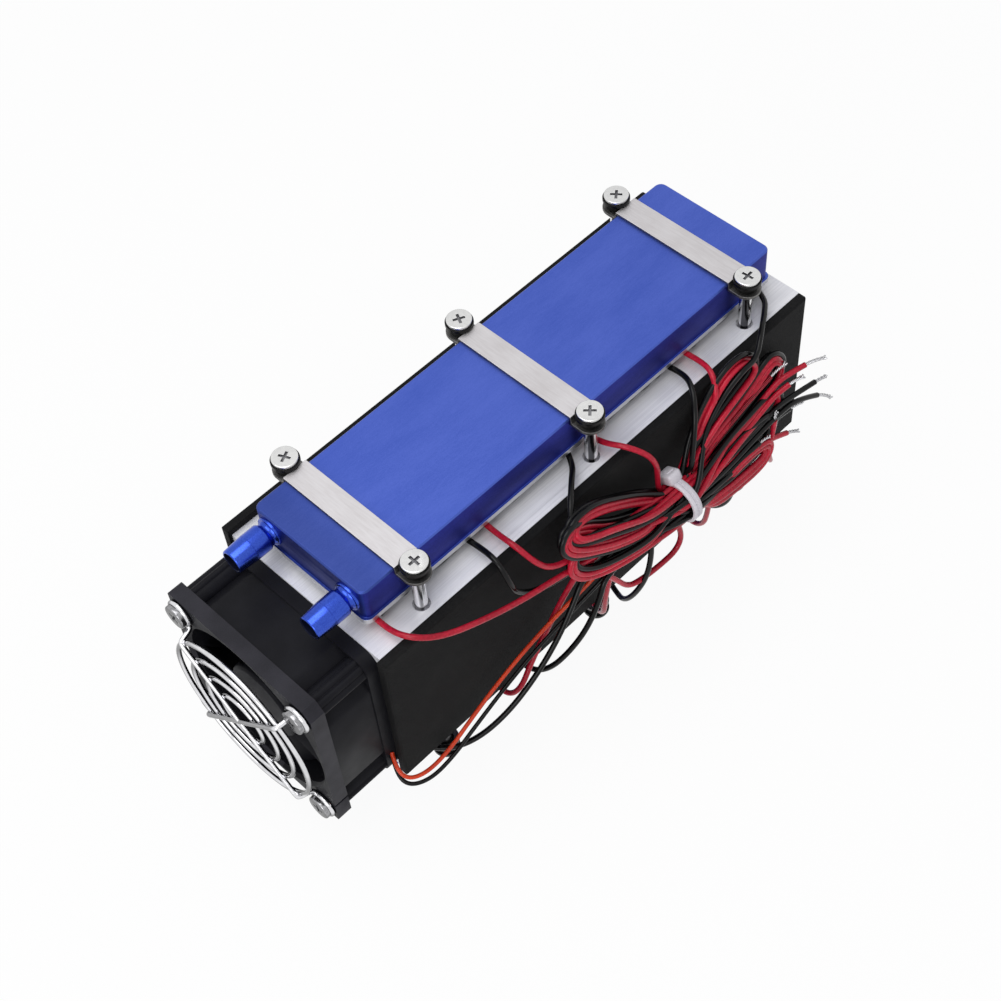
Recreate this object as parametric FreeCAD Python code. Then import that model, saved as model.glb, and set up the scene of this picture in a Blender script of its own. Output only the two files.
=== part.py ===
import FreeCAD, Part
import math
import os

# Thermoelectric cooling module: air drawn by a fan runs between two finned heatsinks, and on the outer face
# of each heatsink four thermoelectric modules are clamped under a blue water block. Millimetres, +Z up, X along
# the length with the fan at -X, leads on the -Y side. The origin is under the middle, on the surface it stands on.

V = FreeCAD.Vector
X_AXIS = V(1, 0, 0)
Y_AXIS = V(0, 1, 0)
Z_AXIS = V(0, 0, 1)

# Thermoelectric modules
MODULE_COUNT = 4
MODULE_SIDE = 40.0
MODULE_GAP = 2.6
MODULE_THICKNESS = 3.8
MODULE_PITCH = MODULE_SIDE + MODULE_GAP
MODULE_ROW = (MODULE_COUNT - 1) * MODULE_PITCH + MODULE_SIDE
CERAMIC_THICKNESS = 0.8
CORE_INSET = 0.6

# Water blocks, with a bare base that stands out round the foot of the blue body
BLOCK_END_MARGIN = 1.2
BLOCK_SIDE_MARGIN = 2.3
BLOCK_LENGTH = MODULE_ROW + 2 * BLOCK_END_MARGIN
BLOCK_WIDTH = MODULE_SIDE + 2 * BLOCK_SIDE_MARGIN
BLOCK_BASE = 1.8
BLOCK_BODY = 11.95
BLOCK_SETBACK = 4.3
BLOCK_CORNER_RADIUS = 2.5
BLOCK_EDGE_CHAMFER = 0.5
BLOCK_LIP = 0.65
BLOCK_WALL = 2.4
CHANNEL_RIB = 3.0
CHANNEL_TURN = 14.0

# Heatsinks
SINK_TAIL = 4.7
SCREW_OUTSET = 4.0
SCREW_EDGE = 4.6
SINK_LENGTH = BLOCK_SETBACK + BLOCK_LENGTH + SINK_TAIL
SINK_WIDTH = BLOCK_WIDTH + 2 * (SCREW_OUTSET + SCREW_EDGE)
FAN_SIDE = SINK_WIDTH - 1.8
SINK_HEIGHT = (FAN_SIDE + 1.2) / 2
SINK_BASE = 5.0
FIN_COUNT = 16
FIN_THICKNESS = 1.1
SCREW_BOSS_RADIUS = 3.4

# Hose barbs, sizes along the axis from the block's face
BARB_SPACING = 32.0
BARB_FLANGE_RADIUS = 4.6
BARB_FLANGE_LENGTH = 0.8
BARB_NECK_RADIUS = 3.75
BARB_NECK_LENGTH = 2.7
BARB_RADIUS = 4.2
BARB_BODY_LENGTH = 5.3
BARB_TIP_RADIUS = 3.75
BARB_TIP_LENGTH = 6.4
BARB_BORE_RADIUS = 3.0
BARB_SPIGOT_LENGTH = 2.0

# Clamping straps
STRAP_END_MARGIN = 16.1
STRAP_WIDTH = 8.7
STRAP_THICKNESS = 1.0
STRAP_DROP = 2.55
STRAP_SIDE_GAP = 0.1
STRAP_STEP_OUTSET = 0.35
STRAP_STEP_RUN = 0.4
STRAP_HOLE_CLEARANCE = 0.1

# Clamp screws and their insulating bushings
SCREW_RADIUS = 2.0
SCREW_HEAD_RADIUS = 3.95
SCREW_HEAD_HEIGHT = 1.0
SCREW_HEAD_ROUND = 0.3
SCREW_TURNS = (0, 25, 42, 63, 4, 38)
SCREW_DEPTH = 6.4
SCREW_TIP_GAP = 0.5
THREAD_CLEARANCE = 0.05
PLATE_HOLE_RADIUS = 2.6
PLATE_HOLE_DEPTH = 1.4
RECESS_WIDTH = 0.85
RECESS_SPAN = 3.8
RECESS_DEPTH = 0.8
BUSHING_HEIGHT = 3.95
BUSHING_COLLAR = 1.2
BUSHING_TOP_RADIUS = 4.35
BUSHING_MID_RADIUS = 3.6
BUSHING_FOOT_RADIUS = 3.1
BUSHING_SLEEVE_RADIUS = 2.65
BUSHING_BORE_CLEARANCE = 0.1

# Side boards
BOARD_THICKNESS = 3.1
BOARD_LAP = 1.2
LEFT_BOARD_RISE = 2.4
BOARD_EDGE_ROUND = 0.8

# Fan frame
FAN_DEPTH = 25.0
FAN_HOLE_SPACING = FAN_SIDE - 2 * 5.0
FAN_HOLE_RADIUS = 2.15
FAN_BORE_RADIUS = FAN_SIDE / 2 - 1.5
FAN_MOUTH_RADIUS = FAN_BORE_RADIUS + 0.9
FAN_MOUTH_DEPTH = 1.2
FRONT_FLANGE = 5.0
FRONT_FLANGE_CHAMFER = 3.0
FRONT_FLANGE_RADIUS = 0.8
REAR_FLANGE = 4.4
REAR_FLANGE_RADIUS = 5.0
FAN_FLAT_INSET = 0.5
FAN_TUBE_RADIUS = FAN_BORE_RADIUS + 5.5
COLUMN_RADIUS = 4.0
COLUMN_RIB_RADIUS = 1.3
COLUMN_RIB_ANGLES = (-38.0, 0.0, 38.0)
SLOT_DEPTH = 2.4
SLOT_HEIGHT = 1.0
SLOT_RISE = 8.0
MOTOR_BASE_RADIUS = 13.0
MOTOR_BASE_THICKNESS = 3.2
MOTOR_BASE_INSET = 1.2
STRUT_WIDTH = 3.4
STRUT_COUNT = 4

# Fan motor
SHAFT_RADIUS = 1.5
SHAFT_CLEARANCE = 0.03
SHAFT_END_GAP = 0.5
BEARING_OUTER_RADIUS = 4.0
BEARING_WIDTH = 2.5
BEARING_TUBE_WALL = 1.0
BEARING_TUBE_LENGTH = 12.0
STATOR_RADIUS = 9.4
STATOR_LENGTH = 5.0
STATOR_STANDOFF = 4.1
STATOR_POLES = 4
POLE_ARM = 3.0
POLE_SHOE = 1.0
COIL_WALL = 1.1
COIL_GAP = 0.1
BOARD_DISC_THICKNESS = 1.0
BOARD_DISC_RADIUS = 10.6
AIR_GAP = 0.4
MAGNET_THICKNESS = 1.6
YOKE_THICKNESS = 0.7

# Impeller
HUB_WALL = 1.1
HUB_FRONT_SETBACK = 2.8
HUB_SKIRT_GAP = 0.6
HUB_ROUND = 1.2
BLADE_COUNT = 7
BLADE_TIP_GAP = 0.8
BLADE_THICKNESS = 1.2
BLADE_DEPTH = 14.0
BLADE_ROOT_SWEEP = 8.5
BLADE_TIP_SWEEP = 12.5
BLADE_BULGE = 1.6

# Finger guard and the long fan screws
GUARD_WIRE_RADIUS = 0.8
GUARD_RING_COUNT = 4
GUARD_INNER_RING = 8.5
GUARD_OUTER_RING = FAN_BORE_RADIUS - 1.0
GUARD_RING_STANDOFF = 4.4
GUARD_WELD = 0.3
GUARD_EYE_RADIUS = 3.9
GUARD_BEND_OUTSET = 1.0
GUARD_STEP_RUN = 1.8
GUARD_BEND_RADII = (1.2, 1.6, 1.6, 1.2)
FAN_SCREW_RADIUS = 1.7
FAN_SCREW_GRIP = 10.0
FAN_SCREW_HEAD_RADIUS = 4.0
FAN_SCREW_HEAD_HEIGHT = 1.4
FAN_SCREW_HEAD_ROUND = 0.5

# Leads, their hank and its tie
LEAD_DIAMETER = 1.8
LEAD_INSET = 2.5
FAN_LEAD_DIAMETER = 1.3
TIE_INNER_RADIUS = 6.6
TIE_THICKNESS = 1.2
TIE_WIDTH = 4.4
TIE_HEAD = (5.2, 5.6, 4.0)
TIE_TAIL_LENGTH = 4.0
TIE_HEAD_LEAN = -28.0

# Places that follow from the sizes
BLOCK_TOP = MODULE_THICKNESS + BLOCK_BASE + BLOCK_BODY
EAR_TOP = BLOCK_TOP + STRAP_THICKNESS - STRAP_DROP
HEAD_BOTTOM = EAR_TOP + BUSHING_HEIGHT
HEAD_TOP = HEAD_BOTTOM + SCREW_HEAD_HEIGHT
MIDDLE_Z = SINK_HEIGHT + HEAD_TOP
PLATE_Z = MIDDLE_Z + SINK_HEIGHT
GUARD_BAR_STANDOFF = GUARD_RING_STANDOFF + 2 * GUARD_WIRE_RADIUS - GUARD_WELD
GUARD_REACH = GUARD_BAR_STANDOFF + GUARD_WIRE_RADIUS
SINK_FRONT = (GUARD_REACH + FAN_DEPTH - SINK_LENGTH) / 2
FAN_FRONT = SINK_FRONT - FAN_DEPTH
DATUM = V(SINK_FRONT, 0, PLATE_Z)
SCREW_Y = BLOCK_WIDTH / 2 + SCREW_OUTSET
BLOCK_FRONT = SINK_FRONT + BLOCK_SETBACK
FIRST_STRAP = BLOCK_SETBACK + STRAP_END_MARGIN
LAST_STRAP = BLOCK_SETBACK + BLOCK_LENGTH - STRAP_END_MARGIN
STRAP_PLACES = (FIRST_STRAP, (FIRST_STRAP + LAST_STRAP) / 2, LAST_STRAP)
BARB_Z = BLOCK_TOP - BLOCK_BODY / 2
FAN_AXIS = V(0, 0, MIDDLE_Z)
MOTOR_BASE_BACK = SINK_FRONT - MOTOR_BASE_INSET
MOTOR_BASE_FRONT = MOTOR_BASE_BACK - MOTOR_BASE_THICKNESS

# Routes of the leads after their exits, chosen point by point. X counts from the heatsinks' front end, Y from
# their side face and Z, for each lead, from the outer face of the heatsink that its module lies on.
LEAD_ROUTES = {
    "upper_red_lead_1": [
        (7.0, 4.3, 2.8), (9.0, -3.6, 4.2), (16.5, -7.9, 0.8), (30.0, -9.1, -5.5),
        (45.0, -10.3, -10.5), (61.0, -11.1, -14.0),
    ],
    "upper_black_lead_1": [
        (43.4, 4.1, 2.9), (42.4, -3.7, 4.3), (42.6, -7.7, -2.4), (45.2, -7.3, -11.0),
        (53.5, -7.7, -18.0), (66.0, -9.4, -20.0),
    ],
    "upper_red_lead_2": [
        (49.8, 4.3, 2.8), (49.6, -3.7, 4.2), (52.0, -8.3, -1.6), (56.5, -9.5, -8.5),
        (64.5, -10.5, -11.5),
    ],
    "upper_black_lead_2": [
        (82.5, 5.3, 2.6), (76.5, 0.3, 4.4), (70.0, -5.3, 4.2), (66.2, -8.9, -1.6),
        (66.5, -10.1, -6.5),
    ],
    "upper_red_lead_3": [
        (93.4, 4.3, 2.6), (96.2, -2.7, 4.2), (100.6, -7.7, 0.6), (103.0, -10.7, -6.0),
        (103.2, -12.1, -12.8), (103.0, -12.5, -18.6),
    ],
    "upper_black_lead_3": [
        (129.2, 4.7, 2.7), (126.0, -2.5, 4.4), (121.5, -7.5, -0.4),
        (118.4, -9.9, -7.2), (116.2, -11.3, -13.6), (115.2, -11.9, -17.6),
    ],
    "upper_red_lead_4": [
        (136.2, 4.3, 2.7), (134.2, -3.3, 4.2), (131.0, -7.9, -1.6),
        (129.4, -10.1, -9.0),
    ],
    "upper_black_lead_4": [
        (169.0, 5.1, 2.4), (162.5, 0.3, 4.0), (155.2, -4.3, 4.4),
        (149.2, -7.9, 1.0), (144.6, -9.7, -3.5),
    ],
    "lower_black_lead_1": [
        (9.0, 4.1, -3.0), (14.0, -3.7, -4.2), (21.5, -9.9, 0.2),
        (31.0, -13.7, 7.7), (42.0, -15.1, 16.2), (53.0, -14.7, 24.7), (62.0, -13.1, 33.2),
        (67.5, -12.1, 40.2),
    ],
    "lower_red_lead_1": [
        (41.4, 4.1, -3.0), (39.8, -3.7, -4.0), (41.8, -8.5, 1.8),
        (48.5, -7.3, 9.6), (57.5, -6.5, 18.7), (65.0, -6.9, 28.7), (70.0, -8.7, 37.7),
    ],
    "lower_black_lead_2": [
        (50.8, 4.1, -3.0), (51.6, -3.7, -4.2), (54.0, -9.5, 0.8),
        (59.0, -13.1, 8.6), (64.5, -15.5, 17.7), (70.0, -15.7, 27.2), (74.5, -14.5, 36.2),
    ],
    "lower_red_lead_2": [
        (84.2, 4.1, -3.1), (81.8, -3.5, -4.2), (79.5, -8.3, 1.8),
        (78.6, -9.7, 10.7), (78.8, -10.7, 19.7), (80.2, -11.5, 28.2), (81.5, -11.9, 35.7),
    ],
    "lower_black_lead_3": [
        (93.0, 4.1, -3.0), (90.6, -3.7, -4.4), (87.6, -9.5, 0.8),
        (87.6, -13.9, 8.7), (90.0, -16.5, 17.7), (92.0, -16.7, 26.7), (93.0, -15.7, 34.2),
    ],
    "lower_red_lead_3": [
        (128.6, 4.1, -3.0), (127.4, -3.7, -4.1), (126.2, -9.1, 1.6),
        (125.4, -11.1, 10.7), (124.8, -12.1, 20.2), (124.2, -12.5, 27.7), (124.0, -12.5, 33.7),
    ],
    "lower_black_lead_4": [
        (135.2, 4.1, -3.0), (136.0, -3.7, -4.1), (137.4, -9.3, 1.7),
        (138.2, -11.1, 10.7), (138.6, -11.7, 20.2), (138.8, -11.7, 28.7), (138.8, -11.7, 36.2),
    ],
    "lower_red_lead_4": [
        (169.6, 4.1, -3.0), (165.8, -3.5, -4.1), (160.5, -8.9, 1.2),
        (156.6, -10.7, 9.7), (154.0, -11.1, 18.7), (152.6, -11.1, 27.7), (151.8, -10.9, 38.2),
    ],
}

# Routes of the fan's leads from the slot in its flange, with Z from the upper heatsink's outer face
FAN_LEAD_ROUTES = {
    "fan_red_lead": [
        (-2.2, 0.9, -50.5), (-4.5, -3.1, -52.5), (-3.6, -7.1, -55.2), (2.5, -8.9, -56.4),
        (11.5, -8.7, -55.6), (22.0, -7.5, -52.6), (34.0, -7.1, -47.5), (48.0, -7.5, -41.5),
        (60.0, -8.9, -36.0), (69.0, -11.1, -30.0), (75.0, -12.5, -25.5),
    ],
    "fan_black_lead": [
        (-2.2, 0.9, -53.0), (-4.9, -3.3, -55.0), (-4.2, -7.7, -57.6), (2.3, -10.3, -58.6),
        (11.8, -10.1, -57.8), (22.0, -9.1, -55.0), (35.0, -8.7, -49.8), (49.0, -9.1, -43.8),
        (61.0, -10.5, -38.2), (70.5, -12.5, -32.0), (77.5, -14.1, -27.0),
    ],
}

# Sections of the tied hank: X, then the middle's Y from the side face and Z, then half its width and height
HANK_SECTIONS = [
    (60.0, -10.3, -12.0, 2.4, 5.5),
    (67.0, -11.1, -13.5, 5.4, 10.5),
    (80.0, -12.1, -17.0, 7.4, 11.8),
    (96.0, -12.8, -22.0, 7.0, 8.4),
    (105.5, -13.1, -24.8, 6.3, 6.4),
    (109.0, -13.1, -25.0, 6.3, 6.4),
    (112.5, -13.1, -24.8, 6.3, 6.4),
    (122.0, -12.7, -21.4, 7.0, 9.0),
    (138.0, -11.7, -14.5, 6.6, 12.8),
    (152.0, -10.7, -12.0, 5.6, 12.6),
    (164.0, -10.7, -14.5, 4.2, 9.0),
    (172.0, -11.5, -18.0, 2.2, 4.6),
]


def box(low, high):
    """A box between two opposite corners."""
    low, high = V(*low), V(*high)
    size = high - low
    return Part.makeBox(size.x, size.y, size.z, low)


def rod(radius, start, length, direction=X_AXIS):
    """A cylinder from a start point along a direction."""
    return Part.makeCylinder(radius, length, start, direction)


def ring(outer, inner, start, length, direction=X_AXIS):
    """A tube from a start point along a direction."""
    return rod(outer, start, length, direction).cut(rod(inner, start, length, direction))


def along_x(points, x, length):
    """A prism of a (y, z) outline, from x along +X."""
    wire = Part.makePolygon([V(x, y, z) for y, z in points + points[:1]])
    return Part.Face(wire).extrude(V(length, 0, 0))


def spun_about_x(points, centre):
    """A solid turned about the X line through a centre, from (x, r) points."""
    corners = [V(x, centre.y, centre.z + r) for x, r in points + points[:1]]
    return Part.Face(Part.makePolygon(corners)).revolve(centre, X_AXIS, 360)


def spun_about_z(points, centre):
    """A solid turned about the Z line through a centre, from (r, z) points."""
    corners = [V(centre.x + r, centre.y, z) for r, z in points + points[:1]]
    return Part.Face(Part.makePolygon(corners)).revolve(centre, Z_AXIS, 360)


def edges_along(shape, direction):
    """The straight edges that run along a direction."""
    found = []
    for edge in shape.Edges:
        run = edge.Vertexes[-1].Point - edge.Vertexes[0].Point
        if run.Length > 1e-6 and abs(abs(run.normalize().dot(direction)) - 1) < 1e-6:
            found.append(edge)
    return found


def joined(shapes):
    """One solid of several that overlap or touch."""
    return shapes[0].multiFuse(shapes[1:]).removeSplitter()


def flipped(shape):
    """The same piece for the lower half."""
    return shape.mirror(FAN_AXIS, Z_AXIS)


def from_datum(x, y, z):
    """A point counted from the upper heatsink's front end and outer face."""
    return DATUM + V(x, y, z)


def from_side(x, y, z):
    """A point counted from the upper heatsink's front end, right side and outer face."""
    return DATUM + V(x, y - SINK_WIDTH / 2, z)


def heatsink():
    """The upper extrusion: a base, its fins, two screw bosses and the holes for clamp and fan screws."""
    half = SINK_WIDTH / 2
    base = box(from_datum(0, -half, -SINK_BASE), from_datum(SINK_LENGTH, half, 0))
    pitch = (SINK_WIDTH - FIN_THICKNESS) / (FIN_COUNT - 1)
    pieces = [base]
    for i in range(FIN_COUNT):
        y = -half + i * pitch
        corner = from_datum(0, y, -SINK_HEIGHT)
        pieces.append(box(corner, from_datum(SINK_LENGTH, y + FIN_THICKNESS, -SINK_BASE / 2)))
    for place in fan_screw_places():
        if place.z > MIDDLE_Z:
            pieces.append(rod(SCREW_BOSS_RADIUS, V(SINK_FRONT, place.y, place.z), SINK_LENGTH))
    sink = joined(pieces)
    tools = []
    for place in clamp_screw_places():
        tools.append(rod(PLATE_HOLE_RADIUS, place, PLATE_HOLE_DEPTH, -Z_AXIS))
        tools.append(rod(SCREW_RADIUS + THREAD_CLEARANCE, place, SCREW_DEPTH + SCREW_TIP_GAP, -Z_AXIS))
    for place in fan_screw_places():
        if place.z > MIDDLE_Z:
            start = V(SINK_FRONT, place.y, place.z)
            tools.append(rod(FAN_SCREW_RADIUS + THREAD_CLEARANCE, start, FAN_SCREW_GRIP + SCREW_TIP_GAP))
    return sink.cut(Part.makeCompound(tools))


def clamp_screw_places():
    """Where the upper clamp screws meet the heatsink's face."""
    return [from_datum(x, side * SCREW_Y, 0) for x in STRAP_PLACES for side in (-1, 1)]


def fan_screw_places():
    """Where the four fan screws pass the fan's front face."""
    half = FAN_HOLE_SPACING / 2
    return [V(FAN_FRONT, y, MIDDLE_Z + z) for y in (-half, half) for z in (-half, half)]


def module_start(number):
    """The X of a module's front edge, from the heatsinks' front end."""
    return BLOCK_SETBACK + BLOCK_END_MARGIN + (number - 1) * MODULE_PITCH


def module(number):
    """One thermoelectric module: two ceramic plates and the sealed core of semiconductor legs between them."""
    x = module_start(number)
    half = MODULE_SIDE / 2
    levels = [(0, CERAMIC_THICKNESS, 0), (CERAMIC_THICKNESS, MODULE_THICKNESS - CERAMIC_THICKNESS, CORE_INSET),
              (MODULE_THICKNESS - CERAMIC_THICKNESS, MODULE_THICKNESS, 0)]
    plates = []
    for low, high, inset in levels:
        corner = from_datum(x + inset, -half + inset, low)
        plates.append(box(corner, from_datum(x + MODULE_SIDE - inset, half - inset, high)))
    return Part.makeCompound(plates)


def water_block():
    """The upper water block: a closed bar on a bare base that stands out round it, with a water channel."""
    half = BLOCK_WIDTH / 2
    front, back = BLOCK_SETBACK, BLOCK_SETBACK + BLOCK_LENGTH
    foot = MODULE_THICKNESS + BLOCK_BASE
    body = box(from_datum(front, -half, foot), from_datum(back, half, BLOCK_TOP))
    body = body.makeFillet(BLOCK_CORNER_RADIUS, edges_along(body, Z_AXIS))
    rim = [e for e in body.Edges if abs(e.BoundBox.ZMin - PLATE_Z - BLOCK_TOP) < 1e-6]
    body = body.makeChamfer(BLOCK_EDGE_CHAMFER, rim)
    base = box(from_datum(front - BLOCK_LIP, -half - BLOCK_LIP, MODULE_THICKNESS),
               from_datum(back + BLOCK_LIP, half + BLOCK_LIP, foot))
    base = base.makeFillet(BLOCK_CORNER_RADIUS, edges_along(base, Z_AXIS))
    high = BLOCK_TOP - BLOCK_WALL
    channel = box(from_datum(front + BLOCK_WALL, -half + BLOCK_WALL, foot),
                  from_datum(back - BLOCK_WALL, half - BLOCK_WALL, high))
    rib = box(from_datum(front + BLOCK_WALL, -CHANNEL_RIB / 2, foot),
              from_datum(back - BLOCK_WALL - CHANNEL_TURN, CHANNEL_RIB / 2, high))
    ports = [rod(BARB_NECK_RADIUS, from_datum(front, y, BARB_Z), BARB_SPIGOT_LENGTH) for y in barb_rows()]
    bores = [rod(BARB_BORE_RADIUS, from_datum(front, y, BARB_Z), BLOCK_WALL + 1) for y in barb_rows()]
    return body.fuse(base).cut(channel.cut(rib)).cut(Part.makeCompound(ports)).cut(Part.makeCompound(bores))


def barb_rows():
    """The Y of each barb's axis."""
    return (-BARB_SPACING / 2, BARB_SPACING / 2)


def barb(y):
    """A turned hose barb: spigot, flange, neck, land and tapered nose, with its bore."""
    face = BLOCK_FRONT
    land = face - BARB_NECK_LENGTH
    nose = land - BARB_BODY_LENGTH
    tip = nose - BARB_TIP_LENGTH
    profile = [
        (face + BARB_SPIGOT_LENGTH, BARB_BORE_RADIUS), (face + BARB_SPIGOT_LENGTH, BARB_NECK_RADIUS),
        (face, BARB_NECK_RADIUS), (face, BARB_FLANGE_RADIUS), (face - BARB_FLANGE_LENGTH, BARB_FLANGE_RADIUS),
        (face - BARB_FLANGE_LENGTH, BARB_NECK_RADIUS), (land, BARB_NECK_RADIUS), (land, BARB_RADIUS),
        (nose, BARB_RADIUS), (tip, BARB_TIP_RADIUS), (tip, BARB_BORE_RADIUS),
    ]
    return spun_about_x(profile, V(0, y, PLATE_Z + BARB_Z))


def strap(x):
    """A clamping strap: flat over the block, stepped down to a rounded ear beyond each side."""
    top, under = BLOCK_TOP + STRAP_THICKNESS, BLOCK_TOP
    inner = BLOCK_WIDTH / 2 + STRAP_SIDE_GAP
    step = BLOCK_WIDTH / 2 + STRAP_STEP_OUTSET
    end = SCREW_Y + STRAP_WIDTH / 2
    right = [(step, top), (step + STRAP_STEP_RUN, EAR_TOP), (end, EAR_TOP), (end, EAR_TOP - STRAP_THICKNESS),
             (inner, EAR_TOP - STRAP_THICKNESS), (inner, under)]
    outline = right + [(-y, z) for y, z in reversed(right)]
    outline = [(y, z + PLATE_Z) for y, z in outline]
    left = SINK_FRONT + x - STRAP_WIDTH / 2
    body = along_x(outline, left, STRAP_WIDTH)
    height = STRAP_DROP + 2 * STRAP_THICKNESS
    foot_z = EAR_TOP - STRAP_THICKNESS
    plan = [box(from_datum(x - STRAP_WIDTH / 2, -SCREW_Y, foot_z - 1),
                from_datum(x + STRAP_WIDTH / 2, SCREW_Y, foot_z + height + 1))]
    for side in (-1, 1):
        plan.append(rod(STRAP_WIDTH / 2, from_datum(x, side * SCREW_Y, foot_z - 1), height + 2, Z_AXIS))
    body = body.common(joined(plan))
    holes = [rod(BUSHING_SLEEVE_RADIUS + STRAP_HOLE_CLEARANCE, from_datum(x, side * SCREW_Y, foot_z - 1),
                 STRAP_THICKNESS + 2, Z_AXIS) for side in (-1, 1)]
    return body.cut(Part.makeCompound(holes))


def bushing(place):
    """A shouldered insulating bushing, standing on the strap's ear with its sleeve through the ear's hole."""
    foot = PLATE_Z + EAR_TOP
    bore = SCREW_RADIUS + BUSHING_BORE_CLEARANCE
    profile = [
        (bore, foot - STRAP_THICKNESS), (BUSHING_SLEEVE_RADIUS, foot - STRAP_THICKNESS),
        (BUSHING_SLEEVE_RADIUS, foot), (BUSHING_FOOT_RADIUS, foot),
        (BUSHING_MID_RADIUS, foot + BUSHING_HEIGHT - BUSHING_COLLAR),
        (BUSHING_TOP_RADIUS, foot + BUSHING_HEIGHT - BUSHING_COLLAR),
        (BUSHING_TOP_RADIUS, foot + BUSHING_HEIGHT), (bore, foot + BUSHING_HEIGHT),
    ]
    return spun_about_z(profile, place)


def cross_recess(turn):
    """The tool for a cross recess, cut down from the origin."""
    half, wide = RECESS_SPAN / 2, RECESS_WIDTH / 2
    bars = []
    for angle in (turn, turn + 90):
        bar = Part.makeBox(2 * half, 2 * wide, RECESS_DEPTH, V(-half, -wide, -RECESS_DEPTH))
        bar.rotate(V(0, 0, 0), Z_AXIS, angle)
        bars.append(bar)
    return bars[0].fuse(bars[1])


def clamp_screw(place, turn):
    """A pan-head screw through the bushing and the strap into the heatsink."""
    under, top = PLATE_Z + HEAD_BOTTOM, PLATE_Z + HEAD_TOP
    head = rod(SCREW_HEAD_RADIUS, V(place.x, place.y, under), SCREW_HEAD_HEIGHT, Z_AXIS)
    rim = [e for e in head.Edges if abs(e.BoundBox.ZMin - top) < 1e-6 and e.BoundBox.ZLength < 1e-6]
    head = head.makeFillet(SCREW_HEAD_ROUND, rim)
    shank = rod(SCREW_RADIUS, V(place.x, place.y, PLATE_Z - SCREW_DEPTH), SCREW_DEPTH + HEAD_BOTTOM, Z_AXIS)
    recess = cross_recess(turn)
    recess.translate(V(place.x, place.y, top))
    return head.fuse(shank).cut(recess)


def side_board(side, rise):
    """An insulating foam board along one side, its long edges slightly rounded."""
    inner = SINK_WIDTH / 2
    near, far = sorted((side * inner, side * (inner + BOARD_THICKNESS)))
    board = box(from_datum(-BOARD_LAP, near, -2 * SINK_HEIGHT + rise), from_datum(SINK_LENGTH, far, rise))
    outside = [e for e in edges_along(board, X_AXIS) + edges_along(board, Z_AXIS)
               if abs(abs(e.BoundBox.YMin) - inner - BOARD_THICKNESS) < 1e-6]
    return board.makeFillet(BOARD_EDGE_ROUND, outside)


def square_about_axis(x, length, half):
    """A square slab centred on the fan's axis."""
    return box((x, -half, MIDDLE_Z - half), (x + length, half, MIDDLE_Z + half))


def fan_frame():
    """The fan's moulded frame: two flanges, a flat-sided tube, ribbed corner columns, struts and motor base."""
    half = FAN_SIDE / 2
    front = square_about_axis(FAN_FRONT, FRONT_FLANGE, half)
    corners = edges_along(front, X_AXIS)
    cut_corner = [e for e in corners if e.CenterOfMass.y < 0 and e.CenterOfMass.z > MIDDLE_Z]
    front = front.makeChamfer(FRONT_FLANGE_CHAMFER, cut_corner)
    edges = edges_along(front, X_AXIS)
    square = [e for e in edges if abs(e.CenterOfMass.y) + abs(e.CenterOfMass.z - MIDDLE_Z) > 2 * half - 0.1]
    front = front.makeFillet(FRONT_FLANGE_RADIUS, square)
    rear = square_about_axis(SINK_FRONT - REAR_FLANGE, REAR_FLANGE, half)
    rear = rear.makeFillet(REAR_FLANGE_RADIUS, edges_along(rear, X_AXIS))
    start = FAN_FRONT + FRONT_FLANGE
    span = FAN_DEPTH - FRONT_FLANGE - REAR_FLANGE
    tube = square_about_axis(start, span, half - FAN_FLAT_INSET)
    tube = tube.common(rod(FAN_TUBE_RADIUS, V(start, 0, MIDDLE_Z), span))
    pieces = [front, rear, tube]
    for place in fan_screw_places():
        pieces.append(rod(COLUMN_RADIUS, V(start, place.y, place.z), span))
        outward = math.degrees(math.atan2(place.z - MIDDLE_Z, place.y))
        for angle in COLUMN_RIB_ANGLES:
            turned = math.radians(outward + angle)
            reach = COLUMN_RADIUS - COLUMN_RIB_RADIUS / 2
            centre = V(start, place.y + reach * math.cos(turned), place.z + reach * math.sin(turned))
            pieces.append(rod(COLUMN_RIB_RADIUS, centre, span))
    body = joined(pieces)
    bore = rod(FAN_BORE_RADIUS, V(FAN_FRONT, 0, MIDDLE_Z), FAN_DEPTH)
    mouth = Part.makeCone(FAN_MOUTH_RADIUS, FAN_BORE_RADIUS, FAN_MOUTH_DEPTH, V(FAN_FRONT, 0, MIDDLE_Z), X_AXIS)
    holes = [rod(FAN_HOLE_RADIUS, place, FAN_DEPTH) for place in fan_screw_places()]
    low = MIDDLE_Z - half + SLOT_RISE
    slot = box((FAN_FRONT, -half, low), (FAN_FRONT + FRONT_FLANGE, -half + SLOT_DEPTH, low + SLOT_HEIGHT))
    body = body.cut(Part.makeCompound([bore, mouth, slot] + holes))
    return joined([body] + motor_mount())


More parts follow.
